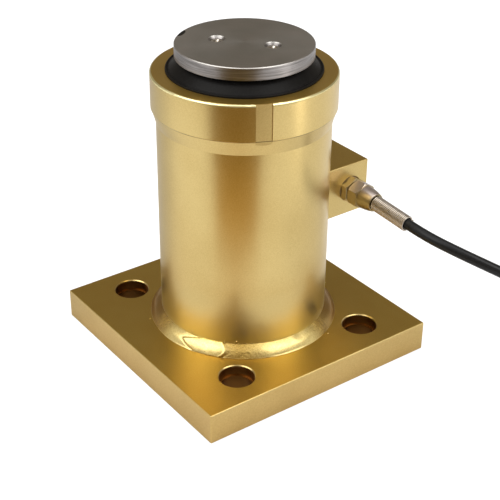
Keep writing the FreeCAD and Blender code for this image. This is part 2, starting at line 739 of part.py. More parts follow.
def board_bracket():
    """Bent sheet bracket that stands on the column's foot and carries the converter board."""
    half = BRACKET_WIDTH / 2
    outer = BRACKET_FACE + BRACKET_THICK
    upright = block(-half, half, BRACKET_FACE, outer, FOOT_TOP, BRACKET_TOP)
    upright = softened(upright, BRACKET_CORNER, lambda e: e.BoundBox.YLength > BRACKET_THICK / 2
                       and e.BoundBox.ZMin > BRACKET_TOP - BRACKET_CORNER)
    foot = block(-half, half, BRACKET_FACE - BRACKET_FOOT, outer, FOOT_TOP, FOOT_TOP + BRACKET_THICK)
    foot = foot.cut(disc(STEM_R + FREE, FOOT_TOP - PAST, FOOT_TOP + BRACKET_THICK + PAST))
    body = foot.fuse(upright)
    cuts = [across(BOARD_SCREW_R + SLIP, BRACKET_FACE - PAST, outer + PAST, x, z)
            for x, z in board_screw_places()]
    cuts += [disc(BRACKET_SCREW_R + FREE, FOOT_TOP - PAST, FOOT_TOP + BRACKET_THICK + PAST, x, y)
             for x, y in bracket_screw_places()]
    middle = CONVERTER_LOW + CONVERTER_HEIGHT / 2
    window_x = BRACKET_WINDOW_WIDTH / 2
    window_z = BRACKET_WINDOW_HEIGHT / 2
    cuts.append(block(-window_x, window_x, BRACKET_FACE - PAST, outer + PAST,
                      middle - window_z, middle + window_z))
    return body.cut(Part.makeCompound(cuts)).removeSplitter()


def bracket_screws():
    """Two pan head screws that hold the bracket to the column's foot."""
    seat = FOOT_TOP + BRACKET_THICK
    screw = disc(BRACKET_SCREW_HEAD_R, seat, seat + BRACKET_SCREW_HEAD)
    screw = screw.fuse(disc(BRACKET_SCREW_R, bracket_screw_end(), seat)).removeSplitter()
    top = seat + BRACKET_SCREW_HEAD
    slot = block(-BRACKET_SCREW_HEAD_R, BRACKET_SCREW_HEAD_R, -BRACKET_SCREW_SLOT / 2, BRACKET_SCREW_SLOT / 2,
                 top - BRACKET_SCREW_SLOT_DEPTH, top + PAST)
    return [screw.cut(slot).translated(V(x, y, 0)) for x, y in bracket_screw_places()]


def converter_board():
    """Upright circuit board that turns the bridge signal into numbers."""
    half = CONVERTER_WIDTH / 2
    face = CONVERTER_FACE
    low = CONVERTER_LOW
    board = block(-half, half, face, face + BOARD_THICK, low, low + CONVERTER_HEIGHT)
    cuts = [across(BOARD_SCREW_R + SLIP, face - PAST, face + BOARD_THICK + PAST, x, z)
            for x, z in board_screw_places()]
    return board.cut(Part.makeCompound(cuts))


def board_spacers():
    """Round spacers between the converter board and its bracket."""
    low = BRACKET_FACE - SPACER_LENGTH
    spacers = []
    for x, z in board_screw_places():
        hole = across(BOARD_SCREW_R + SLIP, low - PAST, BRACKET_FACE + PAST, x, z)
        spacers.append(across(SPACER_R, low, BRACKET_FACE, x, z).cut(hole))
    return spacers


def board_screws():
    """Small screws through the board, its spacers and the bracket."""
    face = CONVERTER_FACE
    screws = []
    for x, z in board_screw_places():
        head = across(BOARD_SCREW_HEAD_R, face - BOARD_SCREW_HEAD, face, x, z)
        shank = across(BOARD_SCREW_R, face, BRACKET_FACE + BRACKET_THICK, x, z)
        slot = block(x - BOARD_SCREW_HEAD_R, x + BOARD_SCREW_HEAD_R, face - BOARD_SCREW_HEAD - PAST,
                     face - BOARD_SCREW_HEAD / 2, z - BOARD_SCREW_SLOT / 2, z + BOARD_SCREW_SLOT / 2)
        screws.append(head.fuse(shank).removeSplitter().cut(slot))
    return screws


def board_parts():
    """Chips, a crystal can and capacitors on the inner face of the converter board."""
    chips = [
        board_chip(0, SAMPLER_Z, SAMPLER_WIDTH, SAMPLER_HEIGHT, SAMPLER_THICK),
        board_chip(0, PROCESSOR_Z, PROCESSOR_SIDE, PROCESSOR_SIDE, PROCESSOR_THICK),
        board_chip(CRYSTAL_X, CRYSTAL_Z, CRYSTAL_WIDTH, CRYSTAL_HEIGHT, CRYSTAL_THICK),
        board_chip(DRIVER_X, DRIVER_Z, DRIVER_SIDE, DRIVER_SIDE, DRIVER_THICK),
    ]
    places = [
        (CAPACITOR_X, CAPACITOR_Z),
        (CAPACITOR_X, CAPACITOR_Z + CAPACITOR_STEP),
        (-CAPACITOR_X, SUPPLY_CAPACITOR_Z),
    ]
    capacitors = [across(CAPACITOR_R, CONVERTER_FACE - CAPACITOR_HEIGHT, CONVERTER_FACE, x, CONVERTER_LOW + z)
                  for x, z in places]
    return chips + capacitors


def board_chip(x, z, width, height, thick):
    """One flat package, given by its middle on the board."""
    level = CONVERTER_LOW + z
    return block(x - width / 2, x + width / 2, CONVERTER_FACE - thick, CONVERTER_FACE,
                 level - height / 2, level + height / 2)


def core_levels():
    """Height of each cable core above the gland's axis."""
    return [CORE_STEP * (k - (CORE_COUNT - 1) / 2) for k in range(CORE_COUNT)]


def terminal_block():
    """Screw terminals where the cable's cores end, with a round entry for each core."""
    face = CONVERTER_FACE
    half = CONVERTER_WIDTH / 2
    length = TERMINAL_WAYS * TERMINAL_PITCH + 2 * TERMINAL_END_WALL
    body = block(half - TERMINAL_DEPTH, half, face - TERMINAL_HEIGHT, face,
                 BLOCK_CENTRE_Z - length / 2, BLOCK_CENTRE_Z + length / 2)
    for z in terminal_levels():
        mouth_at = V(half - TERMINAL_ENTRY_DEPTH, face - TERMINAL_HEIGHT / 2, z)
        entry = Part.makeCylinder(CORE_R + FREE, TERMINAL_ENTRY_DEPTH + PAST, mouth_at, V(1, 0, 0))
        screw = across(TERMINAL_SCREW_R, face - TERMINAL_HEIGHT - PAST,
                       face - TERMINAL_HEIGHT + TERMINAL_SCREW_DEPTH, half - TERMINAL_DEPTH / 2, z)
        body = body.cut(entry).cut(screw)
    return body


def terminal_levels():
    """Height of each entry in the terminal block."""
    return [BLOCK_CENTRE_Z + TERMINAL_PITCH * (k - (TERMINAL_WAYS - 1) / 2) for k in range(TERMINAL_WAYS)]


def bridge_leads():
    """Four leads that stand up from the ring board to the lower edge of the converter board."""
    y = CONVERTER_FACE - THIN_WIRE_R
    low = STEM_TOP + BOARD_THICK
    high = CONVERTER_LOW + BRIDGE_LEAD_LAP
    middle = (BRIDGE_LEAD_COUNT - 1) / 2
    places = [BRIDGE_LEAD_STEP * (k - middle) for k in range(BRIDGE_LEAD_COUNT)]
    return [disc(THIN_WIRE_R, low, high, x, y) for x in places]


# Cable gland, spring and the cable itself
def mouth():
    """The middle of the gland nut's mouth, where the spring and the cable come out."""
    return V(GLAND_X, BLOCK_FACE_Y - NUT_END, BLOCK_CENTRE_Z)


def spring_direction():
    """Where the spring points: outward, a little down and a little aside."""
    droop = math.radians(SPRING_DROOP)
    swing = math.radians(SPRING_SWING)
    return V(math.sin(swing) * math.cos(droop), -math.cos(swing) * math.cos(droop), -math.sin(droop))


def cable_exit():
    """The middle of the spring's free end, where the cable is no longer held."""
    return mouth() + spring_direction() * SPRING_OUT


def gland_body():
    """Threaded body with its base hexagon and the seat for the rubber bush."""
    outside = disc(GLAND_THREAD_R - THREAD, -GLAND_THREAD_IN, GLAND_BASE_OUT)
    flats = hexagon(GLAND_HEX, 0, GLAND_BASE_HEX)
    corner = GLAND_CORNER_R
    limit = turned((0, 0), (corner, 0), (corner, GLAND_BASE_HEX - HEX_CHAMFER_BACK),
                   (corner - HEX_CHAMFER_IN, GLAND_BASE_HEX), (0, GLAND_BASE_HEX))
    body = outside.fuse(flats.common(limit)).removeSplitter()
    bore = disc(GLAND_BORE_R, -GLAND_THREAD_IN - PAST, GLAND_BASE_OUT + PAST)
    seat = disc(BUSH_R + SLIP, BUSH_START, GLAND_BASE_OUT + PAST)
    return on_gland_axis(body.cut(bore).cut(seat))


def gland_o_ring():
    """Seal ring in the groove under the base hexagon."""
    section = O_RING_SECTION - SLIP
    centre = -section - SLIP
    circle = Part.Face(Part.Wire(Part.makeCircle(section, V(O_RING_R, 0, centre), V(0, 1, 0))))
    return on_gland_axis(Part.Solid(circle.revolve(V(0, 0, 0), UP, 360)))


def gland_bush():
    """Rubber bush that the nut squeezes onto the cable."""
    return on_gland_axis(turned((CABLE_R + THREAD, BUSH_START), (BUSH_R, BUSH_START),
                                (BUSH_R, BUSH_END - BUSH_CHAMFER), (BUSH_R - BUSH_CHAMFER, BUSH_END),
                                (CABLE_R + THREAD, BUSH_END)))


def gland_nut():
    """Hexagon nut that runs into a long cone, with the spring's seat in its mouth."""
    corner = GLAND_CORNER_R
    back = NUT_BACK_CHAMFER
    front = NUT_FRONT_CHAMFER
    flats = hexagon(GLAND_HEX, NUT_START, NUT_CONE_START)
    limit = turned((0, NUT_START), (corner - back, NUT_START), (corner, NUT_START + back),
                   (corner, NUT_CONE_START - front), (corner - front, NUT_CONE_START), (0, NUT_CONE_START))
    half_way = ((NUT_SHOULDER_R + NUT_MOUTH_R) / 2 + NUT_BULGE, (NUT_CONE_START + NUT_END) / 2)
    cone = turned((0, NUT_CONE_START - NUT_RIM), (NUT_SHOULDER_R, NUT_CONE_START - NUT_RIM),
                  (NUT_SHOULDER_R, NUT_CONE_START), (half_way, (NUT_MOUTH_R, NUT_END - NUT_RIM)),
                  (NUT_MOUTH_R - NUT_RIM / 2, NUT_END), (0, NUT_END))
    body = flats.common(limit).fuse(cone).removeSplitter()
    inside = turned((0, NUT_START - PAST), (GLAND_THREAD_R + THREAD, NUT_START - PAST),
                    (GLAND_THREAD_R + THREAD, GLAND_BASE_OUT + FREE), (BUSH_R + SLIP, BUSH_END + SLIP),
                    (GLAND_BORE_R, BUSH_END + SLIP), (GLAND_BORE_R, NUT_END), (0, NUT_END))
    seat = disc(SPRING_R + SPRING_SEAT_GAP, NUT_END - SPRING_SEAT_DEPTH, NUT_END + PAST)
    return on_gland_axis(body.cut(inside).cut(seat))


def relief_spring():
    """Close-wound spring of round wire, with its first turns inside the nut's mouth."""
    middle_r = SPRING_R - SPRING_WIRE / 2
    held = SPRING_TURNS_HELD * SPRING_PITCH
    height = SPRING_OUT + held - SPRING_WIRE
    path = Part.Wire(Part.makeHelix(SPRING_PITCH, height, middle_r).Edges)
    rise = SPRING_PITCH / (2 * math.pi * middle_r)
    section = Part.Wire(Part.makeCircle(SPRING_WIRE / 2, V(middle_r, 0, 0), V(0, 1, rise)))
    wound = Part.Solid(path.makePipeShell([section], True, True))
    if wound.Volume < 0:
        wound.reverse()
    return aimed(wound.translated(V(0, 0, SPRING_WIRE / 2 - held)), mouth(), spring_direction())


def held_cable():
    """The end of the cable that the gland and the spring hold."""
    start = V(GLAND_X, BLOCK_FACE_Y + CABLE_HELD_IN, BLOCK_CENTRE_Z)
    return tube_along([start, mouth(), cable_exit()], CABLE_R, HELD_BEND_R)[0]


def signal_cores():
    """The cable's cores, from the end of its sheath through the wire way to the terminal block."""
    face = CONVERTER_FACE
    end_y = face - TERMINAL_HEIGHT / 2
    cores = []
    for offset, entry in zip(core_levels(), terminal_levels()):
        z = BLOCK_CENTRE_Z + offset
        points = [
            V(GLAND_X, BLOCK_FACE_Y + CABLE_HELD_IN, z),
            V(GLAND_X, 0, z),
            V(HOUSING_BORE_R - CORE_WALL_GAP, 0, z),
            V(CONVERTER_WIDTH / 2 + CORE_LEAD_IN, end_y, entry),
            V(CONVERTER_WIDTH / 2 - CORE_IN_TERMINAL, end_y, entry),
        ]
        cores.append(tube_along(points, CORE_R, CORE_BEND_R)[0])
    return cores


def coil_arrives():
    """Where the free cable meets the coil, in its top layer."""
    return V(COIL_X - COIL_STUB, COIL_Y - COIL_LAST_R, COIL_TOP - CABLE_R)


def cable_route():
    """All points of the free cable, from the spring to the coil."""
    return [cable_exit()] + [V(*p) for p in CABLE_POINTS] + [coil_arrives()]


def cable():
    """The free cable between the spring and the coil."""
    solid, length, radii = tube_along(cable_route(), CABLE_R)
    section = math.pi * CABLE_R ** 2
    share = solid.Volume / section / length
    print("cable length %.1f, volume over section times length %.4f" % (length, share))
    print("cable radii", [round(r, 1) for r in radii])
    return solid


def coil_section():
    """Half section of the wound turns, with rounded corners, as a ring about the coil's own axis."""
    edge = COIL_EDGE
    bend = edge * BEND_SHARE
    return turned(
        (COIL_INNER_R + edge, COIL_FLOOR),
        (COIL_OUTER_R - edge, COIL_FLOOR),
        ((COIL_OUTER_R - bend, COIL_FLOOR + bend), (COIL_OUTER_R, COIL_FLOOR + edge)),
        (COIL_OUTER_R, COIL_TOP - edge),
        ((COIL_OUTER_R - bend, COIL_TOP - bend), (COIL_OUTER_R - edge, COIL_TOP)),
        (COIL_INNER_R + edge, COIL_TOP),
        ((COIL_INNER_R + bend, COIL_TOP - bend), (COIL_INNER_R, COIL_TOP - edge)),
        (COIL_INNER_R, COIL_FLOOR + edge),
        ((COIL_INNER_R + bend, COIL_FLOOR + bend), (COIL_INNER_R + edge, COIL_FLOOR)),
    )


def coil_foot():
    """The last quarter turn, which lies on the floor round the outside of the others."""
    inner = COIL_OUTER_R - COIL_EDGE
    high = COIL_FLOOR + 2 * CABLE_R
    crest = V(COIL_LEAVES_R + CABLE_R, 0, COIL_FLOOR + CABLE_R)
    low_edge = V(COIL_LEAVES_R, 0, COIL_FLOOR)
    high_edge = V(COIL_LEAVES_R, 0, high)
    section = Part.Wire([
        Part.makeLine(V(inner, 0, COIL_FLOOR), low_edge),
        Part.Arc(low_edge, crest, high_edge).toShape(),
        Part.makeLine(high_edge, V(inner, 0, high)),
        Part.makeLine(V(inner, 0, high), V(inner, 0, COIL_FLOOR)),
    ])
    foot = Part.Solid(Part.Face(section).revolve(V(0, 0, 0), UP, -90))
    if foot.Volume < 0:
        foot.reverse()
    return foot


def cable_coil():
    """The put-away length as one ring, with a stub for the end that arrives and the end that leaves."""
    start = V(-COIL_STUB, -COIL_LAST_R, COIL_TOP - CABLE_R)
    arrives = Part.makeCylinder(CABLE_R, COIL_STUB, start, V(1, 0, 0))
    leaves_at = V(COIL_LEAVES_R, 0, COIL_FLOOR + CABLE_R)
    leaves = Part.makeCylinder(CABLE_R, COIL_END_STUB, leaves_at, V(0, 1, 0))
    return coil_section().fuse([arrives, coil_foot(), leaves]).translated(V(COIL_X, COIL_Y, 0))


def coil_ties():
    """Flat ties round the coil, each with its lock outside."""
    half = TIE_WIDTH / 2
    gap = SLIP
    r0 = COIL_INNER_R - gap
    r1 = COIL_OUTER_R + gap
    z0 = COIL_FLOOR - gap
    z1 = COIL_TOP + gap
    outer = block(r0 - TIE_THICK, r1 + TIE_THICK, -half, half, z0 - TIE_THICK, z1 + TIE_THICK)
    outer = softened(outer, COIL_EDGE, lambda e: e.BoundBox.YLength > half)
    inner = block(r0, r1, -half - PAST, half + PAST, z0, z1)
    inner = softened(inner, COIL_EDGE - TIE_THICK, lambda e: e.BoundBox.YLength > TIE_WIDTH)
    middle = (COIL_FLOOR + COIL_TOP) / 2
    lock = block(r1 + TIE_THICK / 2, r1 + TIE_THICK + TIE_LOCK / 2, -TIE_LOCK / 2, TIE_LOCK / 2,
                 middle - TIE_LOCK / 2, middle + TIE_LOCK / 2)
    tie = outer.fuse(lock).cut(inner).removeSplitter()
    ties = []
    for angle in TIE_ANGLES:
        copy = tie.copy()
        copy.rotate(V(0, 0, 0), UP, angle)
        ties.append(copy.translated(V(COIL_X, COIL_Y, 0)))
    return ties


def tail_route():
    """The short end that leaves the coil along the floor, sinking to the level of its sleeve."""
    x = COIL_X + COIL_LEAVES_R
    y = COIL_Y + COIL_END_STUB
    third = TAIL_LENGTH / 3
    return [
        V(x, y, COIL_FLOOR + CABLE_R),
        V(x, y + third, COIL_FLOOR + CABLE_R),
        V(x - TAIL_ASIDE, y + 2 * third, SLEEVE_R),
        V(x - TAIL_ASIDE, y + 3 * third, SLEEVE_R),
    ]


def cable_tail():
    """The tail's sheath, up to the shrunk sleeve."""
    return tube_along(tail_route(), CABLE_R)[0]


def end_sleeve():
    """Shrunk sleeve over the end of the sheath, where the cores come out."""
    edge = SLEEVE_EDGE
    sleeve = turned((0, 0), (SLEEVE_R - edge, 0), (SLEEVE_R, edge),
                    (SLEEVE_R, SLEEVE_LENGTH - SLEEVE_TAPER), (SLEEVE_MOUTH_R, SLEEVE_LENGTH),
                    (0, SLEEVE_LENGTH))
    return aimed(sleeve, tail_route()[-1], V(0, 1, 0))


def core_rays():
    """Start and direction of each bare core end."""
    start = tail_route()[-1] + V(0, SLEEVE_LENGTH + FREE, 0)
    rays = []
    drop = math.asin((start.z - END_CORE_R - THREAD) / (END_CORE_LENGTH + END_TIP_LENGTH))
    step = 2 * END_CORE_R + THREAD
    for k, angle in enumerate(END_CORE_FAN):
        side = math.radians(angle)
        direction = V(math.sin(side) * math.cos(drop), math.cos(side) * math.cos(drop), -math.sin(drop))
        offset = V(step * (k - (len(END_CORE_FAN) - 1) / 2), 0, 0)
        rays.append((start + offset, direction))
    return rays


def core_ends():
    """The insulated cores, fanned out."""
    return [Part.makeCylinder(END_CORE_R, END_CORE_LENGTH, start, way) for start, way in core_rays()]


def core_tips():
    """The tinned ends of the cores."""
    return [Part.makeCylinder(END_TIP_R, END_TIP_LENGTH, start + way * END_CORE_LENGTH, way)
            for start, way in core_rays()]


NODES = {
    "base_plate": base_plate,
    "housing": housing,
    "base_weld": base_weld,
    "cable_block": cable_block,
    "load_column": load_column,
    "column_screws": column_screws,
    "load_plate": load_plate,
    "load_plate_screws": load_plate_screws,
    "diaphragm": diaphragm,
    "hub_ring": hub_ring,
    "clamp_ring": clamp_ring,
    "dust_seal": dust_seal,
    "strain_gauges": strain_gauges,
    "gauge_tabs": gauge_tabs,
    "gauge_wires": gauge_wires,
    "ring_board": ring_board,
    "bridge_leads": bridge_leads,
    "board_bracket": board_bracket,
    "bracket_screws": bracket_screws,
    "converter_board": converter_board,
    "board_spacers": board_spacers,
    "board_screws": board_screws,
    "board_parts": board_parts,
    "terminal_block": terminal_block,
    "signal_cores": signal_cores,
    "gland_body": gland_body,
    "gland_o_ring": gland_o_ring,
    "gland_bush": gland_bush,
    "gland_nut": gland_nut,
    "relief_spring": relief_spring,
    "held_cable": held_cable,
    "cable": cable,
    "cable_coil": cable_coil,
    "coil_ties": coil_ties,
    "cable_tail": cable_tail,
    "end_sleeve": end_sleeve,
    "core_ends": core_ends,
    "core_tips": core_tips,
}

os.makedirs("parts", exist_ok=True)
for name, make in NODES.items():
    made = make()
    shape = Part.makeCompound(made) if isinstance(made, list) else made
    if len(shape.Solids) == 1:
        shape = shape.Solids[0]
    report = (name, len(shape.Solids), shape.Volume, shape.isValid())
    print("%-18s %2d solid(s) %10.1f mm3 valid %s" % report)
    shape.exportStep("parts/" + name + ".step")
print("cable leaves the spring at", cable_exit())
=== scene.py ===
# %% [markdown]
# # A digital load cell
#
# A load cell weighs what stands on it. The one built here is a gold painted steel canister, welded to a
# square plate. A round steel disc on top takes the load, and a black cable leaves a small block at the
# side. Every metal piece already has its true shape in the packed frame, so this lesson is mostly about
# finishes: paint with fine flakes, turned steel, rubber and brass. The weld bead and the cable are
# modelled here, because their shapes come from a torch and from gravity, and not from a drawing.

# %% Load the frame
import math

import bpy
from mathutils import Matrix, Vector, noise


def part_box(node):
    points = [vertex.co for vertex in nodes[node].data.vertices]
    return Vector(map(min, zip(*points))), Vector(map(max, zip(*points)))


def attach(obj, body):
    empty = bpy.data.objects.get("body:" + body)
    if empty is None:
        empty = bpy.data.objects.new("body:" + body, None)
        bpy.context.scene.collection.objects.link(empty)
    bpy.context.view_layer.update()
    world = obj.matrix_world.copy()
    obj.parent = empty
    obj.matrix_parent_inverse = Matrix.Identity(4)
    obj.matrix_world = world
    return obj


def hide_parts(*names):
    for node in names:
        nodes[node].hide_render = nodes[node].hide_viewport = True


MM = 0.001

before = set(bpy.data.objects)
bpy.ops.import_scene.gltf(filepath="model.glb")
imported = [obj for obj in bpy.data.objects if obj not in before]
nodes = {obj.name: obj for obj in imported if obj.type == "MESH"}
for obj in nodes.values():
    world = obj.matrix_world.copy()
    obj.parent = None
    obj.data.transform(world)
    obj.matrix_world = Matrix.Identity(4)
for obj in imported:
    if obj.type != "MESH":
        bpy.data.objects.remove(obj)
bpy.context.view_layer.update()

# %% [markdown]
# ## Three small helpers
#
# Blender's operators act on whatever is selected, and the frame arrives selected. So the first helper
# clears the selection, and the second one then picks objects. The third one gives a finished piece its
# name, its body and its finish in one go, so that no piece is forgotten.

# %% Selection and finishing
def clear_selection():
    """Lets go of every object."""
    bpy.ops.object.select_all(action="DESELECT")


def pick(piece, *others):
    """Selects some objects and nothing else, and makes the first one active."""
    clear_selection()
    for each in (piece, *others):
        each.select_set(True)
    bpy.context.view_layer.objects.active = piece


def finish_piece(piece, name, material):
    """Names a new piece, gives it its material and lets it ride with the load cell."""
    piece.name = name
    piece.data.name = name
    piece.data.materials.clear()
    piece.data.materials.append(material)
    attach(piece, "root")
    print(name, "is ready")


print(len(bpy.context.selected_objects), "objects of the frame are still selected")

# %% [markdown]
# ## The camera
#
# The camera looks down at about thirty degrees from the front left, with a long lens, as product
# photographers do to keep upright edges nearly parallel. Its shift moves the picture a little without
# turning the camera, so the verticals stay as they are.

# %% Camera
CAMERA_PLACE = (-0.3494, -0.4766, 0.4028)
CAMERA_PITCH = math.radians(60.288)
CAMERA_YAW = math.radians(-35.472)
SENSOR_WIDTH = 36
LENS = 85.8
SHIFT_X = 0.0413
SHIFT_Y = -0.0282
CLIP_NEAR = 0.01
CLIP_FAR = 50

camera_data = bpy.data.cameras.new("camera")
camera_data.sensor_width = SENSOR_WIDTH
camera_data.lens = LENS
camera_data.shift_x = SHIFT_X
camera_data.shift_y = SHIFT_Y
camera_data.clip_start = CLIP_NEAR
camera_data.clip_end = CLIP_FAR
camera = bpy.data.objects.new("camera", camera_data)
camera.location = CAMERA_PLACE
camera.rotation_euler = (CAMERA_PITCH, 0, CAMERA_YAW)
bpy.context.scene.collection.objects.link(camera)
bpy.context.scene.camera = camera
bpy.context.scene.view_settings.view_transform = "Standard"
camera_side = math.atan2(CAMERA_PLACE[1], CAMERA_PLACE[0])
print("camera stands at", round(math.degrees(camera_side), 1), "degrees round the object")

# %% [markdown]
# ## Nodes, one small step at a time
#
# Materials and surroundings are both trees of nodes. These helpers add one node each, set its values and
# hand back the socket to go on from, so that a pattern can be read from left to right like a sum.

# %% Node helpers
class Nodes:
    """A node tree, with the few steps that this scene uses."""

    def __init__(self, tree):
        self.tree = tree

    def add(self, kind, **settings):
        """A new node with its settings."""
        node = self.tree.nodes.new(kind)
        for key, value in settings.items():
            setattr(node, key, value)
        return node

    def link(self, source, target):
        """Joins two sockets."""
        self.tree.links.new(source, target)

    def plug(self, value, socket):
        """Fills a socket with another socket, a number, a colour or a vector."""
        if isinstance(value, bpy.types.NodeSocket):
            self.link(value, socket)
        elif socket.type == "RGBA":
            socket.default_value = (*value, 1)
        else:
            socket.default_value = value

    def stretch(self, value, low, high, to_low=0.0, to_high=1.0):
        """Maps one span of a value to another, and stops at its ends."""
        span = {"From Min": low, "From Max": high, "To Min": to_low, "To Max": to_high}
        return self.made("ShaderNodeMapRange", Value=value, **span)

    def mix(self, share, first, second):
        """A colour between two, by a share."""
        node = self.add("ShaderNodeMix", data_type="RGBA")
        self.link(share, node.inputs["Factor"])
        ends = [socket for socket in node.inputs if socket.type == "RGBA"]
        self.plug(first, ends[0])
        self.plug(second, ends[1])
        return [socket for socket in node.outputs if socket.type == "RGBA"][0]

    def maths(self, operation, first, second=0.0):
        """One sum on numbers."""
        node = self.add("ShaderNodeMath", operation=operation)
        self.plug(first, node.inputs[0])
        self.plug(second, node.inputs[1])
        return node.outputs[0]

    def vector(self, operation, first, second=(0, 0, 0)):
        """One sum on vectors. Some of these sums end in a vector, and some in a number."""
        node = self.add("ShaderNodeVectorMath", operation=operation)
        self.plug(first, node.inputs[0])
        self.plug(second, node.inputs[1])
        ends_in_number = operation in ("DOT_PRODUCT", "LENGTH")
        return node.outputs["Value" if ends_in_number else "Vector"]

    def part(self, vector, axis):
        """One coordinate of a vector."""
        node = self.add("ShaderNodeSeparateXYZ")
        self.link(vector, node.inputs["Vector"])
        return node.outputs[axis]

    def made(self, kind, **values):
        """A new node with its named inputs filled. Gives its first output."""
        node = self.add(kind)
        for name, value in values.items():
            self.plug(value, node.inputs[name])
        return node.outputs[0]

    def choose(self, share, first, second):
        """A shader between two, by a share."""
        node = self.add("ShaderNodeMixShader")
        self.link(share, node.inputs["Fac"])
        self.link(first, node.inputs[1])
        self.link(second, node.inputs[2])
        return node.outputs[0]


print("node helpers:", ", ".join(name for name in vars(Nodes) if not name.startswith("_")))

# %% [markdown]
# ## Materials, one shader at a time
#
# A material here is always one Principled shader with textures plugged into it. A value that is the same
# all over the surface is typed straight into the shader's socket, because an exporter reads it there. The
# textures read Object coordinates, so that the grain has a real size in metres and stays put when the
# piece is looked at from another side. A scale is then simply a number of grains for each metre.

# %% Shader helpers
class Finish(Nodes):
    """One material: a Principled shader, and Object coordinates for its textures."""

    def __init__(self, name, colour, metallic, roughness, **sockets):
        self.material = bpy.data.materials.new(name)
        self.material.use_nodes = True
        super().__init__(self.material.node_tree)
        self.shader = self.tree.nodes["Principled BSDF"]
        self.shader.inputs["Base Color"].default_value = (*colour, 1)
        self.shader.inputs["Metallic"].default_value = metallic
        self.shader.inputs["Roughness"].default_value = roughness
        for socket, value in sockets.items():
            self.shader.inputs[socket.replace("_", " ").title()].default_value = value
        self.place = self.add("ShaderNodeTexCoord").outputs["Object"]

    def moved(self, location=(0, 0, 0), scale=(1, 1, 1)):
        """Object coordinates, moved and stretched."""
        return self.made("ShaderNodeMapping", Vector=self.place, Location=location, Scale=scale)

    def upward(self):
        """How far the surface looks up: one on a flat top, nothing on an upright wall."""
        return self.part(self.add("ShaderNodeNewGeometry").outputs["Normal"], "Z")

    def noise(self, scale, detail=3.0, roughness=0.5, place=None):
        """Soft noise with a value round one half."""
        grain = {"Scale": scale, "Detail": detail, "Roughness": roughness}
        return self.made("ShaderNodeTexNoise", Vector=place or self.place, **grain)

    def spots(self, scale):
        """Distance to the middle of the nearest of many scattered cells."""
        return self.made("ShaderNodeTexVoronoi", Vector=self.place, Scale=scale)

    def marked(self, name):
        """A value that was written on the piece's points under this name."""
        return self.add("ShaderNodeAttribute", attribute_name=name).outputs["Fac"]

    def colour(self, socket):
        """Plugs a colour into the shader."""
        self.link(socket, self.shader.inputs["Base Color"])

    def roughness(self, socket):
        """Plugs a roughness into the shader."""
        self.link(socket, self.shader.inputs["Roughness"])

    def bump(self, *heights):
        """Stacks bumps, each a height socket with its depth in metres and strength."""
        normal = None
        for height, depth, strength in heights:
            node = self.add("ShaderNodeBump")
            node.inputs["Distance"].default_value = depth
            node.inputs["Strength"].default_value = strength
            self.link(height, node.inputs["Height"])
            if normal:
                self.link(normal, node.inputs["Normal"])
            normal = node.outputs["Normal"]
        self.link(normal, self.shader.inputs["Normal"])


def dress(finish, *names):
    """Gives packed nodes a finish. Their meshes are not touched."""
    for name in names:
        slots = nodes[name].data.materials
        slots.clear()
        slots.append(finish.material)
    print(finish.material.name, "goes on", ", ".join(names))


print("shader helpers:", ", ".join(name for name in vars(Finish) if not name.startswith("_")))

# %% [markdown]
# ## Gold paint
#
# The canister has a satin metallic paint: tiny flakes in a clear, slightly cloudy film. A metallic shader
# with a warm colour gives the flakes, and a weak coat gives the film. Two noises at flake size roughen
# the reflection unevenly, which is what makes such paint sparkle softly instead of looking like brass.
# A much wider noise lets the colour drift a little, as a sprayed coat does. Flat tops are duller, and their
# colour is deeper as painted shade. The roughness never falls below about 0.28, because a smoother wall
# renders with dark specks.

# %% Gold paint
GOLD = (0.76, 0.58, 0.24)
GOLD_DEEP = (0.66, 0.48, 0.18)
GOLD_FLAT_SHADED = (0.585, 0.39, 0.088)
GOLD_FLAT_SHADED_DEEP = (0.525, 0.325, 0.060)
FLAT_FROM = 0.80
FLAT_TO = 0.98
GOLD_ROUGHNESS = 0.295
FLAT_ROUGHNESS = 0.37
FLAKE_SMOOTHER = -0.012
FLAKE_ROUGHER = 0.04
FILM_WEIGHT = 0.18
FILM_ROUGHNESS = 0.25
DRIFTS_PER_METRE = 28
FLAKES_PER_METRE = 1500
FINE_FLAKES_PER_METRE = 3300
FLAKE_WEIGHT = 1.6
FLAKE_DEPTH = 0.008 * MM
FINE_FLAKE_DEPTH = 0.003 * MM
DRIFT_DEPTH = 0.3 * MM


def gold_finish(name):
    """Metallic paint with flakes and a slow drift of colour. Gives the finish, and its tone to go on from."""
    finish = Finish(name, GOLD, 1.0, GOLD_ROUGHNESS, coat_weight=FILM_WEIGHT, coat_roughness=FILM_ROUGHNESS)
    drift = finish.noise(DRIFTS_PER_METRE, 2.0)
    flakes = finish.noise(FLAKES_PER_METRE, 3.0, 0.7)
    fine = finish.noise(FINE_FLAKES_PER_METRE, 2.0, 0.6)
    flakes_and_drift = finish.maths("ADD", drift, finish.maths("MULTIPLY", flakes, FLAKE_WEIGHT))
    share = finish.stretch(flakes_and_drift, 1.0, 1.6)
    flat = finish.stretch(finish.upward(), FLAT_FROM, FLAT_TO)
    upright_tone = finish.mix(share, GOLD_DEEP, GOLD)
    # The deeper colour on flat tops is painted shade.
    shaded_flat_tone = finish.mix(share, GOLD_FLAT_SHADED_DEEP, GOLD_FLAT_SHADED)
    evenly_rough = finish.stretch(flat, 0, 1, GOLD_ROUGHNESS, FLAT_ROUGHNESS)
    wander = finish.stretch(flakes, 0.25, 0.75, FLAKE_SMOOTHER, FLAKE_ROUGHER)
    finish.roughness(finish.maths("ADD", evenly_rough, wander))
    finish.bump((flakes, FLAKE_DEPTH, 0.20), (fine, FINE_FLAKE_DEPTH, 0.20), (drift, DRIFT_DEPTH, 0.15))
    return finish, finish.mix(flat, upright_tone, shaded_flat_tone)


print("a flake of the gold paint is about", round(1 / (FLAKES_PER_METRE * MM), 2), "mm wide")
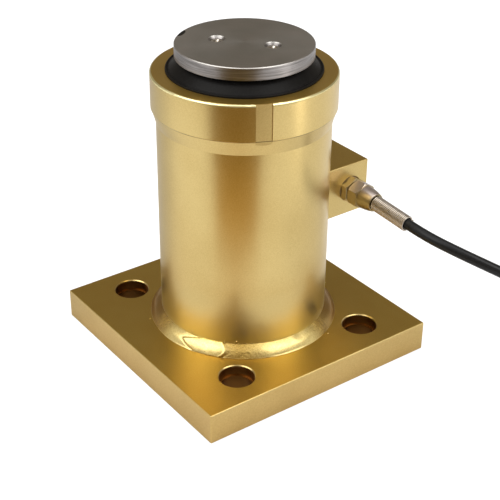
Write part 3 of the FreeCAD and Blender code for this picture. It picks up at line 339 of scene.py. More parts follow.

# %% [markdown]
# The base plate and the block carry this paint, and the plate's four holes get painted shade inside. The
# holes lie alike round the middle, so one distance, with the signs of x and y taken away, finds all four at
# once.

# %% Paint on the base plate and the block
HOLE_PLACE = (43.5 * MM, 54.25 * MM)
HOLE_R = 9.95 * MM
HOLE_FADE_IN = 0.02 * MM
HOLE_FADE_OUT = 0.03 * MM
HOLE_LIP_LOW = 16.6 * MM
HOLE_LIP_HIGH = 17.4 * MM
HOLE_SHADE = (0.30, 0.15, 0.035)


def plate_finish():
    """Gold paint with painted shade in the plate's holes."""
    finish, tone = gold_finish("gold_paint")
    away = finish.vector("SUBTRACT", finish.vector("ABSOLUTE", finish.place), (*HOLE_PLACE, 0))
    radius = finish.vector("LENGTH", finish.vector("MULTIPLY", away, (1, 1, 0)))
    # Inside the holes the colour is darker: painted shade.
    inside = finish.stretch(radius, HOLE_R - HOLE_FADE_IN, HOLE_R + HOLE_FADE_OUT, 1, 0)
    deep = finish.stretch(finish.part(finish.place, "Z"), HOLE_LIP_LOW, HOLE_LIP_HIGH, 1, 0)
    finish.colour(finish.mix(finish.maths("MULTIPLY", inside, deep), tone, HOLE_SHADE))
    return finish


dress(plate_finish(), "base_plate", "cable_block")

# %% [markdown]
# The housing shows three things more: a paler colour near the foot, which is a painted reflection of the warm
# plate, a painted highlight on the bevel round the collar's top, and a fine, broken dark line runs round the
# collar.

# %% Paint on the housing
GOLD_FOOT_REFLECTION = (0.78, 0.68, 0.33)
FOOT_LEVEL = 26 * MM
FOOT_FADE = 30 * MM
GOLD_BEVEL_HIGHLIGHT = (1.0, 0.90, 0.48)
BEVEL_LEANS_FROM = 0.15
BEVEL_LEANS_BY = 0.40
BEVEL_LEANS_UNTIL = 0.85
BEVEL_LEANS_TO = 0.97
COLLAR_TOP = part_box("housing")[1].z
BEVEL_BAND = 3 * MM
BEVEL_FADE = 0.5 * MM
SEAM_TONE = (0.14, 0.085, 0.03)
SEAM_LEVEL = 147.6 * MM
SEAM_HALF = 0.24 * MM
SEAM_BREAKS_PER_METRE = 60


def housing_finish():
    """Gold paint, painted reflection at the foot, painted highlight on the bevel, and the collar's fine line.
    """
    finish, tone = gold_finish("housing_paint")
    level = finish.part(finish.place, "Z")
    # The paler colour near the foot is a painted reflection of the warm plate.
    tone = finish.mix(finish.stretch(level, FOOT_LEVEL, FOOT_LEVEL + FOOT_FADE, 1, 0), tone, GOLD_FOOT_REFLECTION)
    upward = finish.upward()
    # The bright bevel colour below is a painted highlight.
    off_wall = finish.stretch(upward, BEVEL_LEANS_FROM, BEVEL_LEANS_BY)
    off_top = finish.stretch(upward, BEVEL_LEANS_UNTIL, BEVEL_LEANS_TO, 1, 0)
    at_top = finish.stretch(level, COLLAR_TOP - BEVEL_BAND, COLLAR_TOP - BEVEL_BAND + BEVEL_FADE)
    bevel = finish.maths("MULTIPLY", finish.maths("MULTIPLY", off_wall, off_top), at_top)
    tone = finish.mix(bevel, tone, GOLD_BEVEL_HIGHLIGHT)
    off = finish.maths("ABSOLUTE", finish.maths("SUBTRACT", level, SEAM_LEVEL))
    line = finish.stretch(off, SEAM_HALF * 0.5, SEAM_HALF, 1, 0)
    broken = finish.stretch(finish.noise(SEAM_BREAKS_PER_METRE, 2.0), 0.35, 0.6, 0.25, 1)
    finish.colour(finish.mix(finish.maths("MULTIPLY", line, broken), tone, SEAM_TONE))
    return finish


dress(housing_finish(), "housing")

# %% [markdown]
# ## Turned and brushed steel
#
# The load plate was turned on a lathe, so its top carries very fine rings round the middle, and its rim
# carries fine lines that run round it. A wave texture makes the rings. The rim's lines are noise, squeezed
# flat along the axis. One black smudge sits on the edge, where something rubbed it. Turning stretches a
# reflection across the cut, so the shader is anisotropic, with a tangent that runs round the axis.

# %% Load plate steel
STEEL = (0.56, 0.53, 0.50)
STEEL_ROUGHNESS = 0.30
TOP_STEEL = (0.48, 0.45, 0.425)
TOP_STEEL_DEEP = (0.41, 0.40, 0.375)
RIM_STEEL = (0.41, 0.385, 0.372)
RIM_STEEL_DEEP = (0.19, 0.175, 0.168)
STEEL_SMOOTH = 0.285
STEEL_ROUGH = 0.34
STEEL_STRETCH = 0.45
RING_PITCH = 0.32 * MM
WAVE_PITCH_AT_ONE = 0.31
RING_DEPTH = 0.0005 * MM
RIM_TOP = 181.9 * MM
RIM_FADE = 0.1 * MM
RIM_LINE_DEPTH = 0.022 * MM
LINES_SQUEEZED = (1, 1, 45)
STREAKS_SQUEEZED = (1, 1, 30)
SMUDGE_TONE = (0.012, 0.012, 0.012)
SMUDGE_PLACE = (-19.7 * MM, 30.4 * MM, 182.0 * MM)
SMUDGE_TURN = math.radians(39.5)
SMUDGE_HALF_LENGTH = 5.2 * MM
SMUDGE_HALF_WIDTH = 2.2 * MM
SMUDGE_HALF_DEPTH = 2.6 * MM
SMUDGE_EDGE = (1.35, 1.45)


def smudge_share(finish):
    """One inside the smudge and nothing outside, with a ragged edge."""
    at = finish.moved(location=tuple(-v for v in SMUDGE_PLACE))
    reach = finish.noise(700, 3.0)
    for turn, half in ((SMUDGE_TURN, SMUDGE_HALF_LENGTH), (SMUDGE_TURN + math.pi / 2, SMUDGE_HALF_WIDTH)):
        share = finish.vector("DOT_PRODUCT", at, (math.cos(turn) / half, math.sin(turn) / half, 0))
        reach = finish.maths("ADD", reach, finish.maths("MULTIPLY", share, share))
    depth = finish.maths("DIVIDE", finish.part(at, "Z"), SMUDGE_HALF_DEPTH)
    reach = finish.maths("ADD", reach, finish.maths("MULTIPLY", depth, depth))
    return finish.stretch(reach, *SMUDGE_EDGE, 1, 0)


def turned_steel():
    """Steel with turning rings on top, fine lines round the rim and a dark smudge."""
    finish = Finish("load_plate_steel", STEEL, 1.0, STEEL_ROUGHNESS)
    wave = finish.add("ShaderNodeTexWave", wave_type="RINGS", rings_direction="Z", wave_profile="SIN")
    wave.inputs["Scale"].default_value = WAVE_PITCH_AT_ONE / RING_PITCH
    wave.inputs["Distortion"].default_value = 1.5
    wave.inputs["Detail"].default_value = 2.0
    finish.link(finish.place, wave.inputs["Vector"])
    rim_lines = finish.noise(90, 4.0, 0.7, finish.moved(scale=LINES_SQUEEZED))
    streaks = finish.noise(40, 5.0, 0.7, finish.moved(scale=STREAKS_SQUEEZED))
    blotches = finish.noise(55, 3.0)
    on_top = finish.stretch(finish.part(finish.place, "Z"), RIM_TOP, RIM_TOP + RIM_FADE)
    top_steel = finish.mix(finish.stretch(blotches, 0.3, 0.7), TOP_STEEL_DEEP, TOP_STEEL)
    rim_steel = finish.mix(finish.stretch(streaks, 0.35, 0.65), RIM_STEEL_DEEP, RIM_STEEL)
    steel = finish.mix(on_top, rim_steel, top_steel)
    finish.colour(finish.mix(smudge_share(finish), steel, SMUDGE_TONE))
    finish.roughness(finish.stretch(rim_lines, 0.3, 0.7, STEEL_SMOOTH, STEEL_ROUGH))
    rim_relief = finish.maths("MULTIPLY", rim_lines, finish.maths("SUBTRACT", 1.0, on_top))
    finish.bump((wave.outputs["Fac"], RING_DEPTH, 0.2), (rim_relief, RIM_LINE_DEPTH, 0.5))
    tangent = finish.add("ShaderNodeTangent", direction_type="RADIAL", axis="Z")
    finish.link(tangent.outputs["Tangent"], finish.shader.inputs["Tangent"])
    finish.shader.inputs["Anisotropic"].default_value = STEEL_STRETCH
    return finish


dress(turned_steel(), "load_plate")

# %% [markdown]
# ## Plain metals
#
# Screws, spring, column and brass fittings need less. Each gets its own colour and gloss, and the same
# recipe of a cloudy roughness with a little bump, because no machined surface is perfectly even. Where the
# gland nut faces up its colour is paler and greyer, a painted reflection, so its colour follows the surface's
# normal.

# %% Screws, spring, column and brass
def plain_metal(name, colour, roughness, grain=900, depth=0.02):
    """A bare metal with a slightly cloudy surface. The grain is per metre and its depth in millimetres."""
    finish = Finish(name, colour, 1.0, roughness)
    cloud = finish.noise(grain, 3.0, 0.6)
    darker = tuple(v * 0.86 for v in colour)
    finish.colour(finish.mix(finish.stretch(cloud, 0.35, 0.7), darker, colour))
    finish.roughness(finish.stretch(cloud, 0.3, 0.7, roughness - 0.05, roughness + 0.08))
    finish.bump((cloud, depth * MM, 0.4))
    return finish


BRASS = (0.52, 0.43, 0.25)
NUT_TOP_REFLECTION = (0.66, 0.57, 0.53)
SCREWS = ["load_plate_screws", "column_screws", "bracket_screws", "board_screws"]
INNER_STEEL = ["load_column", "diaphragm", "hub_ring", "clamp_ring", "board_bracket", "board_spacers"]

dress(plain_metal("screw_steel", (0.66, 0.61, 0.54), 0.24), *SCREWS)
dress(plain_metal("spring_steel", (0.62, 0.55, 0.47), 0.28, 250, 0.004), "relief_spring")
dress(plain_metal("column_steel", (0.52, 0.53, 0.54), 0.28, 300), *INNER_STEEL)
dress(plain_metal("gland_brass", BRASS, 0.34, 250, 0.004), "gland_body")
dress(plain_metal("tinned_wire", (0.78, 0.77, 0.75), 0.25), "core_tips")
dress(plain_metal("copper_wire", (0.80, 0.42, 0.24), 0.30), "gauge_wires", "bridge_leads")
# The paler, greyer top of the nut is a painted reflection.
nut_brass = plain_metal("nut_brass", BRASS, 0.34, 250, 0.004)
nut_side = nut_brass.shader.inputs["Base Color"].links[0].from_socket
nut_brass.colour(nut_brass.mix(nut_brass.stretch(nut_brass.upward(), 0.45, 0.95), nut_side, NUT_TOP_REFLECTION))
dress(nut_brass, "gland_nut")

# %% [markdown]
# ## Rubber and cable sheath
#
# The dust seal is black rubber, nearly matt, with a little dust in it. The cable has a smooth plastic
# sheath, a touch glossier, so the studio light draws one long highlight along it.

# %% Rubber and sheath
DUST_TONE = (0.45, 0.44, 0.42)


def dark_plastic(name, colour, roughness, grain, shine=0.35, dust=0.0):
    """Rubber or plastic with a fine grain, and some pale specks where dust clings."""
    finish = Finish(name, colour, 0.0, roughness)
    finish.shader.inputs["Specular IOR Level"].default_value = shine
    cloud = finish.noise(grain, 4.0, 0.6)
    lighter = tuple(v * 1.4 + 0.001 for v in colour)
    tone = finish.mix(finish.stretch(cloud, 0.35, 0.7), colour, lighter)
    if dust:
        specks = finish.stretch(finish.spots(600), 0.0, 0.06, 1, 0)
        chance = finish.stretch(finish.noise(180, 2.0), 0.62, 0.70, 0, dust)
        tone = finish.mix(finish.maths("MULTIPLY", specks, chance), tone, DUST_TONE)
    finish.colour(tone)
    finish.roughness(finish.stretch(cloud, 0.3, 0.7, roughness - 0.06, roughness + 0.06))
    finish.bump((cloud, 0.03 * MM, 0.3))
    return finish


dress(dark_plastic("seal_rubber", (0.005, 0.0045, 0.004), 0.38, 700, 0.10, dust=0.8), "dust_seal")
cable_sheath = dark_plastic("cable_sheath", (0.007, 0.007, 0.007), 0.32, 900, 0.26)
dress(cable_sheath, "held_cable", "end_sleeve")
dress(dark_plastic("tie_plastic", (0.02, 0.02, 0.02), 0.45, 1500), "coil_ties")
dress(dark_plastic("board_black", (0.02, 0.02, 0.022), 0.5, 2000), "board_parts")

# %% [markdown]
# ## Inside: boards, gauges and seals
#
# Nobody sees these until the canister is opened, but each has its finish all the same: a plain material
# that drifts softly between two colours, as moulded and printed things do.

# %% Boards, terminal, gauges and seals
def speckled(name, first, second, roughness, grain):
    """A plain material that drifts between two colours."""
    finish = Finish(name, first, 0.0, roughness)
    cloud = finish.noise(grain, 3.0)
    finish.colour(finish.mix(finish.stretch(cloud, 0.35, 0.65), first, second))
    finish.roughness(finish.stretch(cloud, 0.3, 0.7, roughness - 0.05, roughness + 0.05))
    return finish


BOARDS = ["converter_board", "ring_board"]
GAUGES = ["strain_gauges", "gauge_tabs"]

dress(speckled("sealing_fibre", (0.17, 0.10, 0.030), (0.24, 0.15, 0.05), 0.5, 900), "gland_o_ring")
dress(speckled("bush_nylon", (0.62, 0.57, 0.50), (0.70, 0.66, 0.60), 0.4, 900), "gland_bush")
dress(speckled("circuit_board", (0.01, 0.10, 0.04), (0.02, 0.14, 0.06), 0.4, 400), *BOARDS)
dress(speckled("terminal_green", (0.03, 0.22, 0.10), (0.04, 0.26, 0.12), 0.45, 900), "terminal_block")
dress(speckled("gauge_foil", (0.45, 0.22, 0.06), (0.55, 0.32, 0.10), 0.35, 1200), *GAUGES)

# %% [markdown]
# ## The cable's four cores
#
# The four cores have four colours, and each set of cores is one piece. At the cable's end they fan out
# from one point, so a point's slope, sideways over forwards, tells its core. Inside the housing its height
# does. A colour ramp with hard steps turns that share into red, black, green or white.

# %% Cores
CORE_COLOURS = [(0.50, 0.02, 0.02), (0.02, 0.02, 0.02), (0.02, 0.22, 0.06), (0.72, 0.72, 0.70)]
CORE_GREY = (0.5, 0.5, 0.5)
SCUFF_TONE = (0.4, 0.4, 0.4)
LAST_BAND = 0.999
FAN_BACK = 6.0 * MM
FAN_SPREAD = 0.24


def banded_cores(share, finish):
    """Four colours, chosen by a share between 0 and 1, and slightly scuffed."""
    ramp = finish.add("ShaderNodeValToRGB")
    ramp.color_ramp.interpolation = "CONSTANT"
    stops = ramp.color_ramp.elements
    while len(stops) < len(CORE_COLOURS):
        stops.new(0.5)
    for k, colour in enumerate(CORE_COLOURS):
        stops[k].position = k / len(CORE_COLOURS)
        stops[k].color = (*colour, 1)
    finish.link(share, ramp.inputs["Fac"])
    scuffs = finish.stretch(finish.noise(2500, 2.0), 0.3, 0.8, 0, 0.15)
    finish.colour(finish.mix(scuffs, ramp.outputs["Color"], SCUFF_TONE))
    return finish


ends_low, ends_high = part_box("core_ends")
fan = Finish("core_colours_outside", CORE_GREY, 0.0, 0.4)
fan_place = fan.moved(location=(-(ends_low.x + ends_high.x) / 2, FAN_BACK - ends_low.y, 0))
fan_slope = fan.maths("DIVIDE", fan.part(fan_place, "X"), fan.part(fan_place, "Y"))
fan_share = fan.stretch(fan_slope, -2 * FAN_SPREAD, 2 * FAN_SPREAD, 0, LAST_BAND)
dress(banded_cores(fan_share, fan), "core_ends")

inner_low, inner_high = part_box("signal_cores")
inner = Finish("core_colours_inside", CORE_GREY, 0.0, 0.4)
inner_share = inner.stretch(inner.part(inner.place, "Z"), inner_low.z, inner_high.z, 0, LAST_BAND)
dress(banded_cores(inner_share, inner), "signal_cores")

# %% [markdown]
# ## The cable and its coil
#
# A cable is a fixed length of something springy. It leaves the spring in the spring's direction, sinks
# under its own weight and runs on to the coil. One NURBS spline through a few well spaced points gives
# the even bends of a real cable. The rest of its three metres is wound up: eight layers of two turns,
# each turn a cable's width from the next, and one last quarter turn round the foot of the coil. Where a
# turn steps to the next place it takes a quarter of a turn to do so, because a thick cable cannot jump.
# Where it climbs down a layer without changing its radius, it bulges a little to clear the turn below.

# %% Cable points, in millimetres
CABLE_R = 3.0 * MM
CABLE_EXIT = (62.941, -65.763, 83.410)
CABLE_POINTS = [
    (63.82, -80.13, 81.77),
    (70.5, -98.0, 78.0),
    (81.6, -116.2, 71.9),
    (91.5, -127.0, 66.0),
    (105.0, -131.8, 59.0),
    (121.0, -130.0, 51.5),
    (136.0, -127.0, 46.2),
]
COIL_MIDDLE = (173.0, -97.0)
COIL_RADII = (30.0, 24.0)
COIL_LEVELS = (46.2, 40.2, 34.2, 28.2, 22.2, 16.2, 10.2, 4.2)
COIL_STUB = 24.0
COIL_END_STUB = 12.0
FOOT_TURN_R = 36.0
POINTS_PER_TURN = 18
STEP_SHARE = 0.25
STEP_BULGE = 3.2
TAIL = [(209.0, -77.0, 4.2), (207.5, -69.0, 3.7), (207.5, -61.0, 3.7), (207.5, -59.0, 3.7)]


def turn_places():
    """Radius and level of each turn, winding in and out through the layers, and of the last quarter."""
    places = []
    for layer, level in enumerate(COIL_LEVELS):
        radii = COIL_RADII if layer % 2 == 0 else COIL_RADII[::-1]
        places += [(radius, level) for radius in radii]
    places.append((FOOT_TURN_R, COIL_LEVELS[-1]))
    return places


def coil_points():
    """Points of the coil, from where the cable arrives to where its end leaves."""
    places = turn_places()
    widen = 1 / math.cos(math.pi / POINTS_PER_TURN / 2)
    count = POINTS_PER_TURN * (len(places) - 1) + POINTS_PER_TURN // 4
    points = []
    for k in range(count + 1):
        turn, part = divmod(k / POINTS_PER_TURN, 1)
        here = places[int(turn)]
        there = places[min(int(turn) + 1, len(places) - 1)]
        step = max(0.0, (part - 1 + STEP_SHARE) / STEP_SHARE)
        ease = step * step * (3 - 2 * step)
        radius = here[0] + (there[0] - here[0]) * ease
        level = here[1] + (there[1] - here[1]) * ease
        if here[0] == there[0]:
            side = 1 if here[0] == COIL_RADII[0] else -1
            radius += side * STEP_BULGE * math.sin(math.pi * step)
        angle = math.radians(-90 + 360 * k / POINTS_PER_TURN)
        x = COIL_MIDDLE[0] + radius * widen * math.cos(angle)
        y = COIL_MIDDLE[1] + radius * widen * math.sin(angle)
        points.append((x, y, level))
    return points


arrival = (COIL_MIDDLE[0] - COIL_STUB, COIL_MIDDLE[1] - COIL_RADII[0], COIL_LEVELS[0])
leaving = (COIL_MIDDLE[0] + FOOT_TURN_R, COIL_MIDDLE[1] + COIL_END_STUB, COIL_LEVELS[-1])
route = [CABLE_EXIT, *CABLE_POINTS, arrival, *coil_points(), leaving, *TAIL]
print("cable route has", len(route), "points")

# %% [markdown]
# A curve with a round bevel makes the sheath, even in every bend. It takes the place of three plain
# solids: the free cable, the coil and the short end.

# %% Cable curve
SHEATH_FACETS = 5
SPLINE_STEPS = 5

cable_curve = bpy.data.curves.new("cable_line", "CURVE")
cable_curve.dimensions = "3D"
cable_curve.bevel_depth = CABLE_R
cable_curve.bevel_resolution = SHEATH_FACETS
cable_curve.resolution_u = SPLINE_STEPS
cable_curve.use_fill_caps = True
spline = cable_curve.splines.new("NURBS")
spline.points.add(len(route) - 1)
for point, place in zip(spline.points, route):
    point.co = (place[0] * MM, place[1] * MM, place[2] * MM, 1)
spline.order_u = 3
spline.use_endpoint_u = True
cable = bpy.data.objects.new("cable_line", cable_curve)
bpy.context.scene.collection.objects.link(cable)
finish_piece(cable, "load_cell_cable", cable_sheath.material)
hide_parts("cable", "cable_coil", "cable_tail")
print("cable is", round(2 * CABLE_R / MM, 1), "mm thick")

# %% [markdown]
# ## The weld bead
#
# The tube is joined to the plate by a fillet weld. A welder lays it in one go round the tube, so it is
# even but never perfect: it is a little wider here and there, ripples cross it where the pool froze, and
# where the welder stopped and started again one stretch laps over the other. The bead starts as a ring
# profile that is spun about the axis. Then each point is pushed in or out by how far round it lies.

# %% Bead profile, spun round the tube
TUBE_R = 47.7 * MM
PLATE_TOP = 18.0 * MM
BEAD_REACH = 6.05 * MM
BEAD_RISE = 5.8 * MM
BEAD_TOE_WIDTH = 0.45 * MM
BEAD_TOE_HEIGHT = 0.28 * MM
BEAD_CROWN = 0.5 * MM
BEAD_SINK = 0.6 * MM
BEAD_FACE_POINTS = 21
BEAD_STEPS = 960
MERGE_WITHIN = 0.01 * MM


def bead_profile():
    """The bead's cross section as radius and height over the plate: its free face, then its hidden back."""
    toe = BEAD_REACH + BEAD_TOE_WIDTH
    face = [(toe, 0.0)]
    for k in range(BEAD_FACE_POINTS):
        t = k / (BEAD_FACE_POINTS - 1)
        swell = BEAD_CROWN * math.sin(math.pi * t)
        out = BEAD_REACH * (1 - t) + swell
        up = BEAD_TOE_HEIGHT + (BEAD_RISE - BEAD_TOE_HEIGHT) * t + swell
        face.append((out, up))
    return face + [(-BEAD_SINK, BEAD_RISE), (-BEAD_SINK, -BEAD_SINK), (toe, -BEAD_SINK)]


profile = bead_profile()
clear_selection()
bpy.ops.mesh.primitive_circle_add(vertices=len(profile), radius=0.01, fill_type="NOTHING")
bead = bpy.context.object
for vertex, (out, up) in zip(bead.data.vertices, profile):
    vertex.co = (TUBE_R + out, 0, PLATE_TOP + up)
bpy.ops.object.mode_set(mode="EDIT")
bpy.ops.mesh.select_all(action="SELECT")
bpy.ops.mesh.spin(steps=BEAD_STEPS, angle=2 * math.pi, center=(0, 0, 0), axis=(0, 0, 1))
bpy.ops.mesh.select_all(action="SELECT")
bpy.ops.mesh.remove_doubles(threshold=MERGE_WITHIN)
bpy.ops.mesh.normals_make_consistent(inside=False)
bpy.ops.object.mode_set(mode="OBJECT")
print("bead has", len(bead.data.vertices), "points before shaping")

# %% [markdown]
# Angles round the bead are measured in degrees from the camera's side, with plus to its right, so that
# each mark can be named by where it is seen. The lap is a raised tongue: it starts in a tip, with a crease
# all along it, and ends in a bowed crest. The ripples are faint crescents. In five stretches the metal
# froze coarse and grainy.

# %% Marks of the bead
LAP_TIP = -41.5
LAP_TIP_HEIGHT = 0.60
LAP_FOOT_RUN = 12.0
LAP_HEAD_RUN = 17.0
LAP_TIP_SHARPNESS = 1.5
LAP_START_FADE = 1.6
LAP_END = -14.0
LAP_END_BOW = 4.0
LAP_END_FADE = 1.2
LAP_RISE = 0.45 * MM
CREASE_DEPTH = 0.26 * MM
CREASE_WIDTH = 0.75
CREASE_BEFORE_START = 0.3
CREASE_AFTER_END = 1.5
CREASE_SHARE_AT_END = 0.5
CREST_RISE = 0.30 * MM
CREST_WIDTH = 0.9
CREST_BEFORE_END = 0.6
RIPPLE_STEP = 2.1
RIPPLE_BOW = 5.0
RIPPLE_DEPTH = 0.04 * MM
RIPPLE_MEAN = 0.6
WAVINESS = 0.45 * MM
LONG_WAVES_PER_DEGREE = 0.045
SHORT_WAVES_PER_DEGREE = 0.16
SHORT_WAVE_SHARE = 0.4
COARSE_SPANS = [(-2.0, 15.0), (-62.0, 10.0), (60.0, 9.0), (120.0, 18.0), (-140.0, 22.0)]


def smooth(value, low, high):
    """Rises from 0 to 1 between low and high, gently at both ends."""
    t = min(1.0, max(0.0, (value - low) / (high - low)))
    return t * t * (3 - 2 * t)


def hill(value, width):
    """One at zero, and close to nothing past twice the width."""
    return math.exp(-((value / width) ** 2))


def wobble(x, y=0.0, z=0.0):
    """Smooth chance between about -1 and 1, the same in every run."""
    return noise.noise(Vector((x, y, z)))


def lap_edges(height):
    """Angles where the tongue of the lap starts and ends at a height on the face."""
    if height < LAP_TIP_HEIGHT:
        run = LAP_FOOT_RUN * ((LAP_TIP_HEIGHT - height) / LAP_TIP_HEIGHT) ** LAP_TIP_SHARPNESS
    else:
        run = LAP_HEAD_RUN * ((height - LAP_TIP_HEIGHT) / (1 - LAP_TIP_HEIGHT)) ** LAP_TIP_SHARPNESS
    return LAP_TIP + run, LAP_END + LAP_END_BOW * math.sin(math.pi * height)


def coarse_share(turn):
    """How coarse the bead is at an angle, from 0 to 1."""
    return min(1.0, sum(hill(turn - middle, half) for middle, half in COARSE_SPANS))


def bead_marks(turn, height):
    """Push outwards, crease and coarseness at a point, from its angle and its share of the height."""
    start, end = lap_edges(min(1.0, height))
    on_lap = smooth(turn - start, 0.0, LAP_START_FADE) * (1 - smooth(turn - end, -LAP_END_FADE, 0.0))
    crease = hill(turn - start + CREASE_BEFORE_START, CREASE_WIDTH)
    crease += CREASE_SHARE_AT_END * hill(turn - end - CREASE_AFTER_END, CREASE_WIDTH)
    crest = hill(turn - end + CREST_BEFORE_END, CREST_WIDTH)
    coarse = coarse_share(turn) * (1 - on_lap)
    bowed = turn - RIPPLE_BOW * math.sin(math.pi * height)
    ripple = abs(math.sin(math.pi * bowed / RIPPLE_STEP)) - RIPPLE_MEAN
    push = RIPPLE_DEPTH * ripple * (1 - on_lap)
    push += WAVINESS * wobble(turn * LONG_WAVES_PER_DEGREE, 0.0, 3.0)
    push += SHORT_WAVE_SHARE * WAVINESS * wobble(turn * SHORT_WAVES_PER_DEGREE, height, 7.0)
    push += LAP_RISE * on_lap + CREST_RISE * crest - CREASE_DEPTH * crease
    return push, crease, coarse


print("lap runs from", LAP_TIP, "to", LAP_END, "degrees, and ripples stand", RIPPLE_STEP, "degrees apart")

# %% [markdown]
# Each point of the free face is pushed outwards, low on the bead mostly sideways and high on it mostly up.
# Three values stay on the points for the finish to read: the crease, the coarse metal, and a painted shade
# that turns the bead brown far round both sides, by its angle from the camera's side.

# %% Shape the bead
GRAIN_DEPTH = 0.22 * MM
GRAINS_PER_METRE = 1100
END_SHADE_FROM = 52.0
END_SHADE_TO = 80.0
FOOT_STAYS_BELOW = 0.1 * MM
LEAST_OUT = 0.25
LEAST_UP = 0.15

for name in ("crease", "coarse", "tanned"):
    bead.data.attributes.new(name, "FLOAT", "POINT")
marks = {name: bead.data.attributes[name].data for name in ("crease", "coarse", "tanned")}
pushes = []
for vertex in bead.data.vertices:
    out = math.hypot(vertex.co.x, vertex.co.y) - TUBE_R
    up = vertex.co.z - PLATE_TOP
    if out <= 0 or up < FOOT_STAYS_BELOW:
        continue
    angle = math.atan2(vertex.co.y, vertex.co.x)
    turn = (math.degrees(angle - camera_side) + 180) % 360 - 180
    height = up / (BEAD_RISE + BEAD_CROWN)
    push, crease, coarse = bead_marks(turn, height)
    push += GRAIN_DEPTH * coarse * noise.noise(vertex.co * GRAINS_PER_METRE)
    marks["crease"][vertex.index].value = min(1.0, crease)
    marks["coarse"][vertex.index].value = coarse
    # Painted shade: browner far round both sides, by the angle from the camera's side.
    marks["tanned"][vertex.index].value = smooth(abs(turn), END_SHADE_FROM, END_SHADE_TO)
    slope_out = LEAST_OUT + (1 - LEAST_OUT) * (1 - height)
    slope_up = LEAST_UP + (1 - LEAST_UP) * height
    vertex.co.x += push * slope_out * math.cos(angle)
    vertex.co.y += push * slope_out * math.sin(angle)
    vertex.co.z += push * slope_up
    pushes.append(push)
for polygon in bead.data.polygons:
    polygon.use_smooth = True
print("bead's face moved by", round(min(pushes) / MM, 2), "to", round(max(pushes) / MM, 2), "mm")

# %% [markdown]
# A welder's torch also spits. A few beads of metal froze on the tube just above the weld, on the plate
# beside it and along the upper edge of the bead. Each is one small ball, half sunk into what it sits on
# and joined to the bead.

# %% Spatter
DROPS = [
    (-4.0, 7.4, 0.0, 0.50),
    (-36.0, 8.2, 0.0, 0.40),
    (22.0, 7.9, 0.0, 0.35),
    (-12.0, 7.0, 0.0, 0.30),
    (5.5, 6.9, 0.0, 0.28),
    (60.0, 0.0, 8.4, 0.40),
    (-75.0, 0.0, 8.0, 0.35),
    (150.0, 7.6, 0.0, 0.45),
    (118.0, 0.0, 8.8, 0.40),
]
EDGE_DROPS = 16
EDGE_DROPS_FROM = -17.0
EDGE_DROPS_STEP = 2.4
EDGE_DROPS_STRAY = 1.1
EDGE_LEVEL = 5.95
EDGE_LIFT = 0.5
EDGE_OUT = 0.12
EDGE_DROP_R = 0.24
EDGE_DROP_R_STRAY = 0.12


def edge_drop(number):
    """Angle, height, distance from the tube and radius of one drop on the bead's upper edge."""
    turn = EDGE_DROPS_FROM + EDGE_DROPS_STEP * number + EDGE_DROPS_STRAY * wobble(number * 3.7)
    radius = EDGE_DROP_R + EDGE_DROP_R_STRAY * wobble(number * 2.3, 5.0)
    return turn, EDGE_LEVEL + EDGE_LIFT * abs(wobble(number * 1.9, 9.0)), EDGE_OUT, radius


drops = []
for turn, up, out, radius in DROPS + [edge_drop(number) for number in range(EDGE_DROPS)]:
    angle = camera_side + math.radians(turn)
    reach = TUBE_R + out * MM
    place = (reach * math.cos(angle), reach * math.sin(angle), PLATE_TOP + up * MM)
    clear_selection()
    bpy.ops.mesh.primitive_ico_sphere_add(subdivisions=2, radius=radius * MM, location=place)
    drops.append(bpy.context.object)
    bpy.ops.object.transform_apply(location=True, rotation=True, scale=True)
    bpy.ops.object.shade_smooth()
pick(bead, *drops)
bpy.ops.object.join()
print("spatter drops joined:", len(drops))

# %% [markdown]
# The weld carries the same gold paint as the rest, but over rough metal. It is dark in the crease as painted
# shade, dark in a few pores, dull and pitted where the metal is coarse, and brown far round the sides as
# painted shade.

# %% Weld finish
BEAD_PALE = (0.86, 0.69, 0.29)
BEAD_DEEP = (0.74, 0.55, 0.18)
BEAD_DULL = (0.40, 0.25, 0.05)
BEAD_END_SHADE = (0.42, 0.22, 0.04)
BEAD_DARK = (0.20, 0.12, 0.035)
DULL_SHARE = 0.85
END_SHADE_SHARE = 0.9
DARK_SHARE = 0.62
BEAD_ROUGHNESS = 0.34
BEAD_SMOOTH = 0.285
BEAD_ROUGH = 0.36
BEAD_FILM_WEIGHT = 0.3
RELIEF_DEPTH = 0.40 * MM
RELIEF_WHERE_FINE = 0.06
PORE_DEPTH = -0.15 * MM


